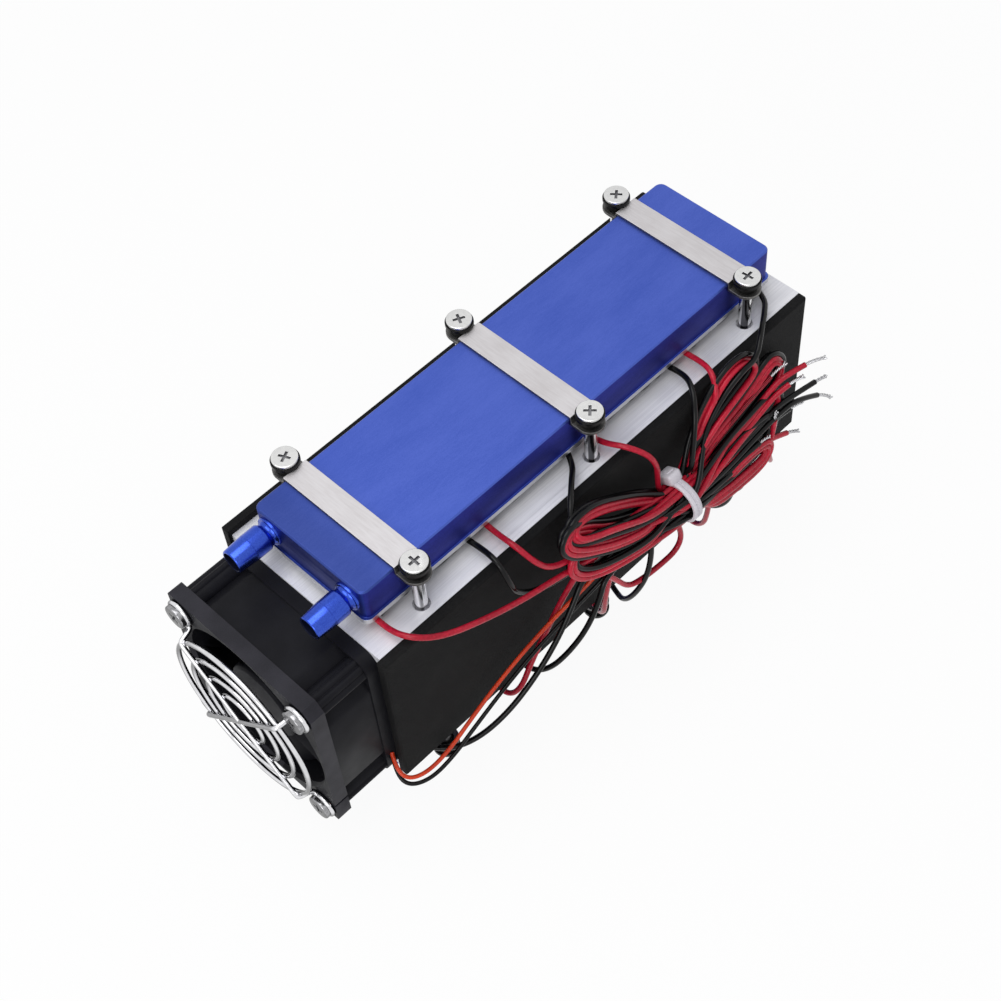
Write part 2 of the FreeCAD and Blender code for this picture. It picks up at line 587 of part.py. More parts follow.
def motor_mount():
    """The struts, the motor base and the bearing tube, which are moulded with the frame."""
    base = rod(MOTOR_BASE_RADIUS, V(MOTOR_BASE_FRONT, 0, MIDDLE_Z), MOTOR_BASE_THICKNESS)
    outer = BEARING_OUTER_RADIUS + BEARING_TUBE_WALL
    tube_front = MOTOR_BASE_FRONT - BEARING_TUBE_LENGTH
    tube = rod(outer, V(tube_front, 0, MIDDLE_Z), BEARING_TUBE_LENGTH)
    hollow = rod(BEARING_OUTER_RADIUS, V(tube_front, 0, MIDDLE_Z), BEARING_TUBE_LENGTH)
    mount = [base.fuse(tube).cut(hollow)]
    for i in range(STRUT_COUNT):
        low = MOTOR_BASE_RADIUS - 1
        bar = box((MOTOR_BASE_FRONT, low, MIDDLE_Z - STRUT_WIDTH / 2),
                  (MOTOR_BASE_BACK, FAN_BORE_RADIUS + FAN_FLAT_INSET, MIDDLE_Z + STRUT_WIDTH / 2))
        bar.rotate(FAN_AXIS, X_AXIS, i * 360 / STRUT_COUNT)
        mount.append(bar)
    return mount


def bearing(x):
    """A small ball bearing, drawn as its two races with the shield between them set back."""
    middle = (SHAFT_RADIUS + BEARING_OUTER_RADIUS) / 2
    inner, outer = middle - 0.5, middle + 0.5
    shield = BEARING_WIDTH / 8
    profile = [
        (x, SHAFT_RADIUS + SHAFT_CLEARANCE), (x, inner), (x + shield, inner), (x + shield, outer), (x, outer),
        (x, BEARING_OUTER_RADIUS), (x + BEARING_WIDTH, BEARING_OUTER_RADIUS), (x + BEARING_WIDTH, outer),
        (x + BEARING_WIDTH - shield, outer), (x + BEARING_WIDTH - shield, inner), (x + BEARING_WIDTH, inner),
        (x + BEARING_WIDTH, SHAFT_RADIUS + SHAFT_CLEARANCE),
    ]
    return spun_about_x(profile, FAN_AXIS)


def bearings():
    """The pair of bearings at the two ends of the bearing tube."""
    front = MOTOR_BASE_FRONT - BEARING_TUBE_LENGTH
    return Part.makeCompound([bearing(front), bearing(MOTOR_BASE_FRONT - BEARING_WIDTH)])


def stator_span():
    """The stator's front end and its bore."""
    back = MOTOR_BASE_FRONT - STATOR_STANDOFF
    return back - STATOR_LENGTH, BEARING_OUTER_RADIUS + BEARING_TUBE_WALL


def stator_core():
    """The laminated core: a ring on the bearing tube, four arms and four pole shoes."""
    x, bore = stator_span()
    start = V(x, 0, MIDDLE_Z)
    shoes = ring(STATOR_RADIUS, STATOR_RADIUS - POLE_SHOE, start, STATOR_LENGTH)
    pieces = [ring(bore + POLE_SHOE, bore, start, STATOR_LENGTH)]
    gaps = []
    for i in range(STATOR_POLES):
        arm = box((x, bore + POLE_SHOE / 2, MIDDLE_Z - POLE_ARM / 2),
                  (x + STATOR_LENGTH, STATOR_RADIUS - POLE_SHOE / 2, MIDDLE_Z + POLE_ARM / 2))
        gap = box((x, bore + POLE_SHOE, MIDDLE_Z - POLE_SHOE),
                  (x + STATOR_LENGTH, STATOR_RADIUS + 1, MIDDLE_Z + POLE_SHOE))
        arm.rotate(FAN_AXIS, X_AXIS, i * 360 / STATOR_POLES)
        gap.rotate(FAN_AXIS, X_AXIS, (i + 0.5) * 360 / STATOR_POLES)
        pieces.append(arm)
        gaps.append(gap)
    return joined(pieces + [shoes.cut(Part.makeCompound(gaps))])


def stator_coils():
    """A coil of enamelled wire round each arm of the core."""
    x, bore = stator_span()
    wide = POLE_ARM / 2
    low = bore + POLE_SHOE + COIL_GAP
    high = math.sqrt((STATOR_RADIUS - POLE_SHOE) ** 2 - (wide + COIL_WALL) ** 2) - COIL_GAP
    coils = []
    for i in range(STATOR_POLES):
        outer = box((x - COIL_WALL, low, MIDDLE_Z - wide - COIL_WALL),
                    (x + STATOR_LENGTH + COIL_WALL, high, MIDDLE_Z + wide + COIL_WALL))
        inner = box((x, low, MIDDLE_Z - wide), (x + STATOR_LENGTH, high, MIDDLE_Z + wide))
        coil = outer.cut(inner)
        coil.rotate(FAN_AXIS, X_AXIS, i * 360 / STATOR_POLES)
        coils.append(coil)
    return Part.makeCompound(coils)


def motor_board():
    """The round circuit board on the motor base."""
    bore = BEARING_OUTER_RADIUS + BEARING_TUBE_WALL
    start = V(MOTOR_BASE_FRONT - BOARD_DISC_THICKNESS, 0, MIDDLE_Z)
    return ring(BOARD_DISC_RADIUS, bore, start, BOARD_DISC_THICKNESS)


def rotor_radii():
    """The magnet's bore, its outside, the yoke's outside and the hub's outside."""
    magnet = STATOR_RADIUS + AIR_GAP
    yoke = magnet + MAGNET_THICKNESS
    hub = yoke + YOKE_THICKNESS
    return magnet, yoke, hub, hub + HUB_WALL


def hub_ends():
    """The X of the hub's front face, the underside of its cap and the end of its skirt."""
    front = FAN_FRONT + HUB_FRONT_SETBACK
    return front, front + HUB_WALL + 0.4, MOTOR_BASE_FRONT - HUB_SKIRT_GAP


def magnet_ring():
    """The ring magnet inside the yoke."""
    magnet, yoke, _, _ = rotor_radii()
    x, _ = stator_span()
    return ring(yoke, magnet, V(x - COIL_WALL, 0, MIDDLE_Z), STATOR_LENGTH + 2 * COIL_WALL)


def rotor_yoke():
    """The drawn steel cup that holds the magnet in the hub."""
    _, yoke, hub, _ = rotor_radii()
    _, cap, skirt = hub_ends()
    cup = rod(hub, V(cap, 0, MIDDLE_Z), skirt - cap)
    inside = rod(yoke, V(cap + YOKE_THICKNESS, 0, MIDDLE_Z), skirt - cap)
    return cup.cut(inside).cut(rod(SHAFT_RADIUS, V(cap, 0, MIDDLE_Z), YOKE_THICKNESS))


def fan_shaft():
    """The ground steel shaft, from the hub's cap to the inner bearing."""
    start = hub_ends()[0] + HUB_WALL / 2
    return rod(SHAFT_RADIUS, V(start, 0, MIDDLE_Z), MOTOR_BASE_FRONT - SHAFT_END_GAP - start)


def impeller():
    """The moulded impeller: a rounded hub cup and its swept, twisted blades."""
    _, _, bore, outside = rotor_radii()
    front, cap, skirt = hub_ends()
    hub = rod(outside, V(front, 0, MIDDLE_Z), skirt - front)
    rim = [e for e in hub.Edges if abs(e.BoundBox.XMin - front) < 1e-6 and e.BoundBox.XLength < 1e-6]
    hub = hub.makeFillet(HUB_ROUND, rim)
    hub = hub.cut(rod(bore, V(cap, 0, MIDDLE_Z), skirt - cap))
    hub = hub.cut(rod(SHAFT_RADIUS, V(front + HUB_WALL / 2, 0, MIDDLE_Z), skirt - front))
    tip = FAN_BORE_RADIUS - BLADE_TIP_GAP
    swept = rod(tip, V(front, 0, MIDDLE_Z), skirt - front)
    blade = blade_blank(outside, tip, front).common(swept)
    blade = blade.cut(rod(outside - 0.3, V(front - 1, 0, MIDDLE_Z), skirt - front + 2))
    blades = []
    for i in range(BLADE_COUNT):
        copy = blade.copy()
        copy.rotate(FAN_AXIS, X_AXIS, i * 360 / BLADE_COUNT)
        blades.append(copy)
    return joined([hub] + blades)


def blade_blank(root, tip, front):
    """A blade before its ends are trimmed: a curved section that widens and flattens from root to tip."""
    sections = []
    for radius, sweep in ((root - 1.5, BLADE_ROOT_SWEEP), (tip + 1.5, BLADE_TIP_SWEEP)):
        start = V(front + 1.0, -sweep / 2, MIDDLE_Z + radius)
        end = V(front + 1.0 + BLADE_DEPTH, sweep / 2, MIDDLE_Z + radius)
        chord = end - start
        across = V(-chord.y, chord.x, 0).normalize()
        middle = start + chord * 0.5 + across * BLADE_BULGE
        face = Part.Arc(start, middle, end).toShape()
        back = Part.Arc(end, middle + across * BLADE_THICKNESS, start).toShape()
        sections.append(Part.Wire([face, back]))
    return Part.makeLoft(sections, True, True)


def guard_rings():
    """The radii of the guard's rings, evenly spaced."""
    step = (GUARD_OUTER_RING - GUARD_INNER_RING) / (GUARD_RING_COUNT - 1)
    return [GUARD_INNER_RING + i * step for i in range(GUARD_RING_COUNT)]


def finger_guard():
    """The welded wire guard: rings, two crossed bars stepped out from their eyes, and an eye at each screw."""
    ring_x = FAN_FRONT - GUARD_RING_STANDOFF
    bar_x = FAN_FRONT - GUARD_BAR_STANDOFF
    eye_x = FAN_FRONT - GUARD_WIRE_RADIUS
    pieces = [Part.makeTorus(r, GUARD_WIRE_RADIUS, V(ring_x, 0, MIDDLE_Z), X_AXIS) for r in guard_rings()]
    corner = FAN_HOLE_SPACING / math.sqrt(2) - GUARD_EYE_RADIUS
    bend = GUARD_OUTER_RING + GUARD_BEND_OUTSET
    for turn in (45, 135):
        knee = bend + GUARD_STEP_RUN
        path = [V(eye_x, 0, MIDDLE_Z - corner), V(eye_x, 0, MIDDLE_Z - knee), V(bar_x, 0, MIDDLE_Z - bend),
                V(bar_x, 0, MIDDLE_Z + bend), V(eye_x, 0, MIDDLE_Z + knee), V(eye_x, 0, MIDDLE_Z + corner)]
        bar = tube_along(rounded_path(path, GUARD_BEND_RADII), GUARD_WIRE_RADIUS)
        bar.rotate(FAN_AXIS, X_AXIS, turn)
        pieces.append(bar)
    for place in fan_screw_places():
        pieces.append(Part.makeTorus(GUARD_EYE_RADIUS, GUARD_WIRE_RADIUS, V(eye_x, place.y, place.z), X_AXIS))
    return pieces[0].multiFuse(pieces[1:])


def fan_screw(place, turn):
    """A long screw whose head lies on the guard's eye, through both flanges into the heatsink."""
    under = place.x - 2 * GUARD_WIRE_RADIUS
    head_x = under - FAN_SCREW_HEAD_HEIGHT
    head = rod(FAN_SCREW_HEAD_RADIUS, V(head_x, place.y, place.z), FAN_SCREW_HEAD_HEIGHT)
    rim = [e for e in head.Edges if abs(e.BoundBox.XMin - head_x) < 1e-6 and e.BoundBox.XLength < 1e-6]
    head = head.makeFillet(FAN_SCREW_HEAD_ROUND, rim)
    shank = rod(FAN_SCREW_RADIUS, V(under, place.y, place.z), SINK_FRONT + FAN_SCREW_GRIP - under)
    recess = cross_recess(turn)
    recess.rotate(V(0, 0, 0), Y_AXIS, -90)
    recess.translate(V(head_x, place.y, place.z))
    return joined([head, shank]).cut(recess)


def rounded_path(points, radii):
    """Straight runs joined by tangent arcs of the given radii, one for each inner point."""
    edges = []
    last = points[0]
    for before, corner, after, radius in zip(points, points[1:], points[2:], radii):
        incoming = (corner - before).normalize()
        outgoing = (after - corner).normalize()
        half_turn = incoming.getAngle(outgoing) / 2
        cut = radius * math.tan(half_turn)
        first, second = corner - incoming * cut, corner + outgoing * cut
        inward = (outgoing - incoming).normalize()
        middle = corner + inward * (radius / math.cos(half_turn) - radius)
        edges.append(Part.LineSegment(last, first).toShape())
        edges.append(Part.Arc(first, middle, second).toShape())
        last = second
    edges.append(Part.LineSegment(last, points[-1]).toShape())
    return Part.Wire(edges)


def tube_along(path, radius):
    """A round solid of a radius swept along a path."""
    start = path.Edges[0].Vertexes[0].Point
    way = path.Edges[0].tangentAt(path.Edges[0].FirstParameter)
    section = Part.Wire(Part.Circle(start, way, radius).toShape())
    return path.makePipeShell([section], True, False)


def lead_exit(name):
    """Where a module's lead leaves the seal round its legs: red first above, black first below."""
    half, colour, _, number = name.split("_")
    first = (half == "upper") == (colour == "red")
    x = module_start(int(number)) + (LEAD_INSET if first else MODULE_SIDE - LEAD_INSET)
    middle = MODULE_THICKNESS / 2
    return from_datum(x, CORE_INSET - MODULE_SIDE / 2, middle if half == "upper" else -2 * SINK_HEIGHT - middle)


def module_lead(name, route):
    """A module's lead, from its exit to the hank."""
    drop = 0 if name.startswith("upper") else 2 * SINK_HEIGHT
    return lead(name, [lead_exit(name)] + [from_side(x, y, z - drop) for x, y, z in route], LEAD_DIAMETER)


def lead(name, points, diameter):
    """The uncoiled stretch of a lead, with the largest arcs that its runs allow."""
    radii = []
    for before, corner, after in zip(points, points[1:], points[2:]):
        shorter = min((corner - before).Length, (after - corner).Length)
        turn = (corner - before).getAngle(after - corner)
        radii.append(0.45 * shorter / math.tan(turn / 2))
    path = rounded_path(points, radii)
    tube = tube_along(path, diameter / 2)
    share = tube.Volume / (math.pi * diameter ** 2 / 4 * path.Length)
    bends = " ".join(f"{r:.1f}" for r in radii)
    print(f"{name}: {path.Length:.1f} mm, volume ratio {share:.4f}, radii {bends}")
    return tube


def wire_hank():
    """The outer shape of the tied hank that all the leads run into."""
    rings = []
    for x, y, z, wide, high in HANK_SECTIONS:
        centre = from_side(x, y, z)
        rings.append(Part.Wire(Part.Ellipse(centre + V(0, 0, high), centre + V(0, wide, 0), centre).toShape()))
    return Part.makeLoft(rings, True, False)


def cable_tie():
    """The nylon tie round the hank: a band, the ratchet head on its inner upper side and the cut tail."""
    centre = from_side(*HANK_SECTIONS[len(HANK_SECTIONS) // 2 - 1][:3])
    start = centre - V(TIE_WIDTH / 2, 0, 0)
    outer = TIE_INNER_RADIUS + TIE_THICKNESS
    band = ring(outer, TIE_INNER_RADIUS, start, TIE_WIDTH)
    long, wide, high = TIE_HEAD
    head = Part.makeBox(long, wide, high, centre + V(-long / 2, -wide / 2, TIE_INNER_RADIUS + 0.2))
    head = head.makeFillet(0.6, head.Edges)
    tail = Part.makeBox(TIE_WIDTH - 1, TIE_TAIL_LENGTH, TIE_THICKNESS,
                        centre + V(-(TIE_WIDTH - 1) / 2, 0, TIE_INNER_RADIUS + TIE_THICKNESS))
    whole = joined([band, head, tail])
    whole.rotate(centre, X_AXIS, TIE_HEAD_LEAN)
    return whole


def both_halves(pieces, name, shape):
    """Stores a piece of the upper half and its twin of the lower half."""
    pieces["upper_" + name] = shape
    pieces["lower_" + name] = flipped(shape)


def build():
    """All nodes by name."""
    pieces = {}
    both_halves(pieces, "heatsink", heatsink())
    both_halves(pieces, "water_block", water_block())
    for y, side in zip(barb_rows(), ("right", "left")):
        both_halves(pieces, side + "_barb", barb(y))
    for number in range(1, MODULE_COUNT + 1):
        both_halves(pieces, f"module_{number}", module(number))
    for number, x in enumerate(STRAP_PLACES, 1):
        both_halves(pieces, f"strap_{number}", strap(x))
    places = clamp_screw_places()
    both_halves(pieces, "bushings", Part.makeCompound([bushing(p) for p in places]))
    screws = [clamp_screw(p, t) for p, t in zip(places, SCREW_TURNS)]
    both_halves(pieces, "clamp_screws", Part.makeCompound(screws))
    pieces["right_side_board"] = side_board(-1, 0)
    pieces["left_side_board"] = side_board(1, LEFT_BOARD_RISE)
    pieces["fan_frame"] = fan_frame()
    pieces["fan_bearings"] = bearings()
    pieces["stator_core"] = stator_core()
    pieces["stator_coils"] = stator_coils()
    pieces["motor_board"] = motor_board()
    pieces["magnet_ring"] = magnet_ring()
    pieces["rotor_yoke"] = rotor_yoke()
    pieces["fan_shaft"] = fan_shaft()
    pieces["impeller"] = impeller()
    pieces["finger_guard"] = finger_guard()
    screws = [fan_screw(p, t) for p, t in zip(fan_screw_places(), SCREW_TURNS)]
    pieces["fan_screws"] = Part.makeCompound(screws)
    for name, route in LEAD_ROUTES.items():
        pieces[name] = module_lead(name, route)
    for name, route in FAN_LEAD_ROUTES.items():
        pieces[name] = lead(name, [from_side(*p) for p in route], FAN_LEAD_DIAMETER)
    pieces["wire_hank"] = wire_hank()
    pieces["cable_tie"] = cable_tie()
    return pieces


def main():
    """Writes one STEP file for each node."""
    os.makedirs("parts", exist_ok=True)
    pieces = build()
    for name, shape in pieces.items():
        if not shape.isValid() or not shape.Solids:
            print("check this shape:", name, shape.ShapeType, len(shape.Solids))
        shape.exportStep(f"parts/{name}.step")
    print(len(pieces), "nodes")


main()
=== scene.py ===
"""Looks of a thermoelectric cooling module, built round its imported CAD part.

Lengths in the classes below are millimetres in the row frame: X runs from the fan to the open rear end, Z is up and
the leads are on the -Y side. Every mesh and curve is written in metres.
"""

import logging
import math
import random
from dataclasses import dataclass, field
from enum import Enum
from typing import Any, Callable, Mapping, Sequence

import bmesh
import bpy
from mathutils import Matrix, Vector


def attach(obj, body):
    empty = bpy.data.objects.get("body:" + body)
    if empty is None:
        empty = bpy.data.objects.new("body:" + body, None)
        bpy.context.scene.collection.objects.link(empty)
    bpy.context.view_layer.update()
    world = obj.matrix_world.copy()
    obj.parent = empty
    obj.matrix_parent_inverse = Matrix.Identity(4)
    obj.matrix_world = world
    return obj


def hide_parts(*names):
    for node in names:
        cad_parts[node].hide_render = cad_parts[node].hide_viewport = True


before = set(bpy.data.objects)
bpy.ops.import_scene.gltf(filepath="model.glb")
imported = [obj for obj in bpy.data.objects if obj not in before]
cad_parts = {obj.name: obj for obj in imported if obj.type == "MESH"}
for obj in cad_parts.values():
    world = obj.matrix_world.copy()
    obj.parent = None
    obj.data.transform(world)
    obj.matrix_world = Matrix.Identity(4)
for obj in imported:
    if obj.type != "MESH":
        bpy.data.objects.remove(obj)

LOG = logging.getLogger("cooling_module")
CHASSIS = "chassis"
ROTOR = "fan_rotor"
MM = 0.001

# The upper heatsink's front end and outer face, the middle of the air duct, a heatsink's height and its right side
DATUM = Vector((-73.85, 0.0, 82.15))
MIDDLE_Z = 51.55
SINK_HEIGHT = 30.6
SIDE_Y = -30.9

# Vertices nearer than WELD are joined, or CAD_WELD in a CAD mesh, and faces that turn by less than FLAT_TURN radians.
# Edges that turn by more than SHARP_TURN degrees are broken.
WELD = 1e-4
CAD_WELD = 1e-3
FLAT_TURN = 0.02
SHARP_TURN = 32.0

# The middle of the cable tie, counted as the leads' routes are
TIE_CENTRE = (109.0, -13.1, -25.0)

WHITE = (1.0, 1.0, 1.0, 1.0)
SEEN_RAYS = ("Is Camera Ray", "Is Glossy Ray", "Is Transmission Ray")
NOISE_SHIFT = (1.0, 0.7, 1.3)

Colour = tuple[float, float, float]
Point = tuple[float, float, float]
Span = tuple[float, float]


class Half(Enum):
    """The two like halves of the module, one on each side of the air duct."""

    UPPER = "upper"
    LOWER = "lower"

    def place(self, point: Vector) -> Vector:
        """The point as it is for this half.

        Args:
            point: the point as it is for the upper half.

        Returns:
            The point.
        """
        if self is Half.UPPER:
            return Vector(point)
        return Vector((point.x, point.y, 2 * MIDDLE_Z - point.z))


class Sheath(Enum):
    """The two colours that a lead's insulation comes in."""

    RED = "red"
    BLACK = "black"


def from_datum(x: float, y: float, z: float) -> Vector:
    """A point counted from the upper heatsink's front end and outer face."""
    return DATUM + Vector((x, y, z))


def from_side(x: float, y: float, z: float) -> Vector:
    """A point counted from the upper heatsink's front end, right side and outer face."""
    return DATUM + Vector((x, y + SIDE_Y, z))


@dataclass(frozen=True)
class Value:
    """A shader socket with arithmetic, so that a finish reads as a formula.

    Attributes:
        graph: the graph that the socket belongs to.
        socket: an output socket.
    """

    graph: "Graph"
    socket: bpy.types.NodeSocket

    def _math(self, operation: str, *others: "Value | float") -> "Value":
        """A Math node with this value as its first input.

        Args:
            operation: the node's operation.
            others: its further inputs.

        Returns:
            The node's result.
        """
        inputs = dict(enumerate((self, *others)))
        return self.graph.value("ShaderNodeMath", {"operation": operation}, inputs)

    def __add__(self, other: "Value | float") -> "Value":
        """The sum."""
        return self._math("ADD", other)

    def __radd__(self, other: float) -> "Value":
        """The sum, with the number first."""
        return self._math("ADD", other)

    def __sub__(self, other: "Value | float") -> "Value":
        """The difference."""
        return self._math("SUBTRACT", other)

    def __rsub__(self, other: float) -> "Value":
        """The difference, with the number first."""
        return self._math("MULTIPLY", -1.0)._math("ADD", other)

    def __mul__(self, other: "Value | float") -> "Value":
        """The product."""
        return self._math("MULTIPLY", other)

    def __rmul__(self, other: float) -> "Value":
        """The product, with the number first."""
        return self._math("MULTIPLY", other)

    def __abs__(self) -> "Value":
        """The size without its sign."""
        return self._math("ABSOLUTE")

    def step(self, low: float, high: float) -> "Value":
        """0 below low, 1 above high and smooth between them.

        Args:
            low: where the rise starts.
            high: where it ends.

        Returns:
            The smooth step.
        """
        return self.graph.value("ShaderNodeMapRange", {"interpolation_type": "SMOOTHSTEP"},
                                {"Value": self, "From Min": low, "From Max": high})


class Graph:
    """A node tree and the one method that fills it."""

    def __init__(self, tree: bpy.types.NodeTree) -> None:
        """Empties the tree.

        Args:
            tree: the material's or the world's node tree.
        """
        self.tree = tree
        self.tree.nodes.clear()

    def node(self, kind: str, settings: Mapping[str, Any], sockets: Mapping[str | int, Any]) -> bpy.types.Node:
        """Adds a node.

        Args:
            kind: its type.
            settings: its properties, which are set first.
            sockets: the value, or the socket that it is linked to, for each of its inputs.

        Returns:
            The node.
        """
        node = self.tree.nodes.new(kind)
        for name, setting in settings.items():
            setattr(node, name, setting)
        for key, given in sockets.items():
            source = given.socket if isinstance(given, Value) else given
            if isinstance(source, bpy.types.NodeSocket):
                self.tree.links.new(source, node.inputs[key])
            else:
                node.inputs[key].default_value = source
        return node

    def value(self, kind: str, settings: Mapping[str, Any], sockets: Mapping[str | int, Any],
              output: str | int = 0) -> Value:
        """Adds a node and gives one of its outputs.

        Args:
            kind: its type.
            settings: its properties.
            sockets: its inputs.
            output: the output's name or number.

        Returns:
            The output as a value.
        """
        return Value(self, self.node(kind, settings, sockets).outputs[output])


class Surface(Graph):
    """A material's node tree, with the few nodes that the finishes are written in."""

    def __init__(self, name: str) -> None:
        """Makes a material with its shader.

        Args:
            name: the material's name.
        """
        self.material = bpy.data.materials.new(name)
        self.material.use_nodes = True
        super().__init__(self.material.node_tree)
        self.shader = self.node("ShaderNodeBsdfPrincipled", {}, {})
        self.node("ShaderNodeOutputMaterial", {}, {"Surface": self.shader.outputs[0]})
        self.place = self.node("ShaderNodeTexCoord", {}, {}).outputs["Object"]

    def constant(self, **values: float | Colour) -> "Surface":
        """Sets shader inputs that are the same all over.

        Args:
            values: the inputs by name, with an underscore for a space.

        Returns:
            This surface.
        """
        for name, given in values.items():
            filled = (*given, 1.0) if isinstance(given, tuple) else given
            self.shader.inputs[name.replace("_", " ")].default_value = filled
        return self

    def axis(self, index: int) -> Value:
        """The X, Y or Z of the shaded point, in millimetres."""
        return self.value("ShaderNodeSeparateXYZ", {}, {0: self.place}, index) * (1 / MM)

    def noise(self, size: Point, detail: float = 3.0, rough: float = 0.5, seed: float = 0.0) -> Value:
        """Cloudy noise.

        Args:
            size: the grain's length along X, Y and Z in millimetres.
            detail: how many finer layers it has.
            rough: how strong the finer layers are.
            seed: shifts the pattern.

        Returns:
            The noise, about 0.5 on average.
        """
        scaled = self.value("ShaderNodeMapping", {}, {
            "Vector": self.place, "Location": tuple(seed * part for part in NOISE_SHIFT),
            "Scale": tuple(1 / MM / length for length in size)})
        return self.value("ShaderNodeTexNoise", {}, {
            "Vector": scaled, "Scale": 1.0, "Detail": detail, "Roughness": rough}, "Fac")

    def away(self) -> Value:
        """How far the surface turns away from the eye, 0 to 1."""
        return self.value("ShaderNodeLayerWeight", {}, {"Blend": 0.5}, "Facing")

    def mix(self, first: "Colour | Value", second: "Colour | Value", share: Value) -> Value:
        """A colour between two.

        Args:
            first: the colour at share 0.
            second: the colour at share 1.
            share: how much of the second.

        Returns:
            The colour.
        """
        ends = [c if isinstance(c, Value) else (*c, 1.0) for c in (first, second)]
        return self.value("ShaderNodeMix", {"data_type": "RGBA"}, {0: share, 6: ends[0], 7: ends[1]}, 2)

    def drive(self, **sources: Value) -> "Surface":
        """Links values or colours to shader inputs.

        Args:
            sources: what drives each input, by its name with an underscore for a space.

        Returns:
            This surface.
        """
        for name, source in sources.items():
            self.tree.links.new(source.socket, self.shader.inputs[name.replace("_", " ")])
        return self

    def bump(self, height: Value, depth: float) -> "Surface":
        """Roughens the surface.

        Args:
            height: the height, about 0 to 1.
            depth: what 1 stands for, in millimetres.

        Returns:
            This surface.
        """
        normal = self.value("ShaderNodeBump", {}, {"Distance": depth * MM, "Height": height})
        return self.drive(Normal=normal)


@dataclass(frozen=True)
class Finish:
    """What a surface is made of.

    Attributes:
        name: the material's name.
        slot: the material slot that it stands for; not used.
    """

    name: str
    slot: str

    def make(self) -> bpy.types.Material:
        """Gives the material, which is made once and then shared.

        Returns:
            The material.
        """
        label = self.name + "_finish"
        found = bpy.data.materials.get(label)
        if found is not None:
            return found
        surface = Surface(label)
        self.paint(surface)
        return surface.material

    def paint(self, surface: Surface) -> None:
        """Writes the finish into an empty surface."""
        raise NotImplementedError


@dataclass(frozen=True)
class Metal(Finish):
    """A metal, plain or brushed, which can be darkened at its rim as a painted dark reflection.

    Attributes:
        light: the colour where it is brightest.
        dark: the colour in its darker grain.
        roughness: how dull it is.
        grain: the brush marks' length along X, Y and Z in millimetres.
        depth: the brush marks' depth in millimetres.
        spread: how much the roughness varies with the grain.
        rim: how much it darkens where it turns away from the eye, a painted dark reflection.
        metallic: how much of it is bare metal; the rest is oxide haze.
        cloud: the size of its duller patches along X, Y and Z in millimetres.
        contrast: where the grain starts to darken and where it is darkest.
        rim_band: from where to where it darkens, as it turns away.
        rim_dark: how much of the dark colour is left there.
    """

    light: Colour = (0.8, 0.8, 0.8)
    dark: Colour = (0.6, 0.6, 0.6)
    roughness: float = 0.3
    grain: Point = (8.0, 0.15, 0.15)
    depth: float = 0.02
    spread: float = 0.18
    rim: float = 0.0
    metallic: float = 1.0
    cloud: Point = (14.0, 11.0, 9.0)
    contrast: Span = (0.35, 0.85)
    rim_band: Span = (0.42, 0.82)
    rim_dark: float = 0.06

    def paint(self, surface: Surface) -> None:
        """Writes the metal.

        Args:
            surface: an empty surface.
        """
        streak = surface.noise(self.grain, 4.0, 0.6)
        cloud = surface.noise(self.cloud, 2.0, 0.5, 3.1)
        share = (streak * 0.7 + cloud * 0.5).step(*self.contrast)
        colour = surface.mix(self.light, self.dark, share)
        # Painted dark reflection: the colour darkens where the metal turns away from the eye.
        if self.rim:
            deep = tuple(part * self.rim_dark for part in self.dark)
            colour = surface.mix(colour, deep, surface.away().step(*self.rim_band) * self.rim)
        surface.drive(Base_Color=colour, Roughness=streak * self.spread + (self.roughness - self.spread / 2))
        surface.constant(Metallic=self.metallic)
        surface.bump(streak, self.depth)


@dataclass(frozen=True)
class PaintedReflectionRod(Finish):
    """A polished rod with a painted reflection: a dark line between two bright ones, painted by how far it turns away.

    Attributes:
        bright: the colour of the painted bright lines.
        dark: the colour of the painted dark lines.
        rise: from where to where the bright line comes up, as the surface turns away.
        fall: from where to where it goes down again.
        roughness: how dull it is in its smoothest places.
        spread: how much duller its scratches are.
        scratch: the scratches' size along X, Y and Z in millimetres.
        depth: their depth in millimetres.
    """

    bright: Colour = (0.80, 0.80, 0.81)
    dark: Colour = (0.06, 0.06, 0.065)
    rise: Span = (0.42, 0.50)
    fall: Span = (0.74, 0.90)
    roughness: float = 0.14
    spread: float = 0.12
    scratch: Point = (0.3, 0.3, 3.0)
    depth: float = 0.004

    def paint(self, surface: Surface) -> None:
        """Writes the rod.

        Args:
            surface: an empty surface.
        """
        away = surface.away()
        # Painted reflection: bright lines where the rod starts to turn away, dark in its middle and at its edges.
        lines = away.step(*self.rise) * (1.0 - away.step(*self.fall))
        scratch = surface.noise(self.scratch, 3.0, 0.6)
        surface.drive(Base_Color=surface.mix(self.dark, self.bright, lines),
                      Roughness=scratch * self.spread + self.roughness)
        surface.constant(Metallic=1.0)
        surface.bump(scratch, self.depth)


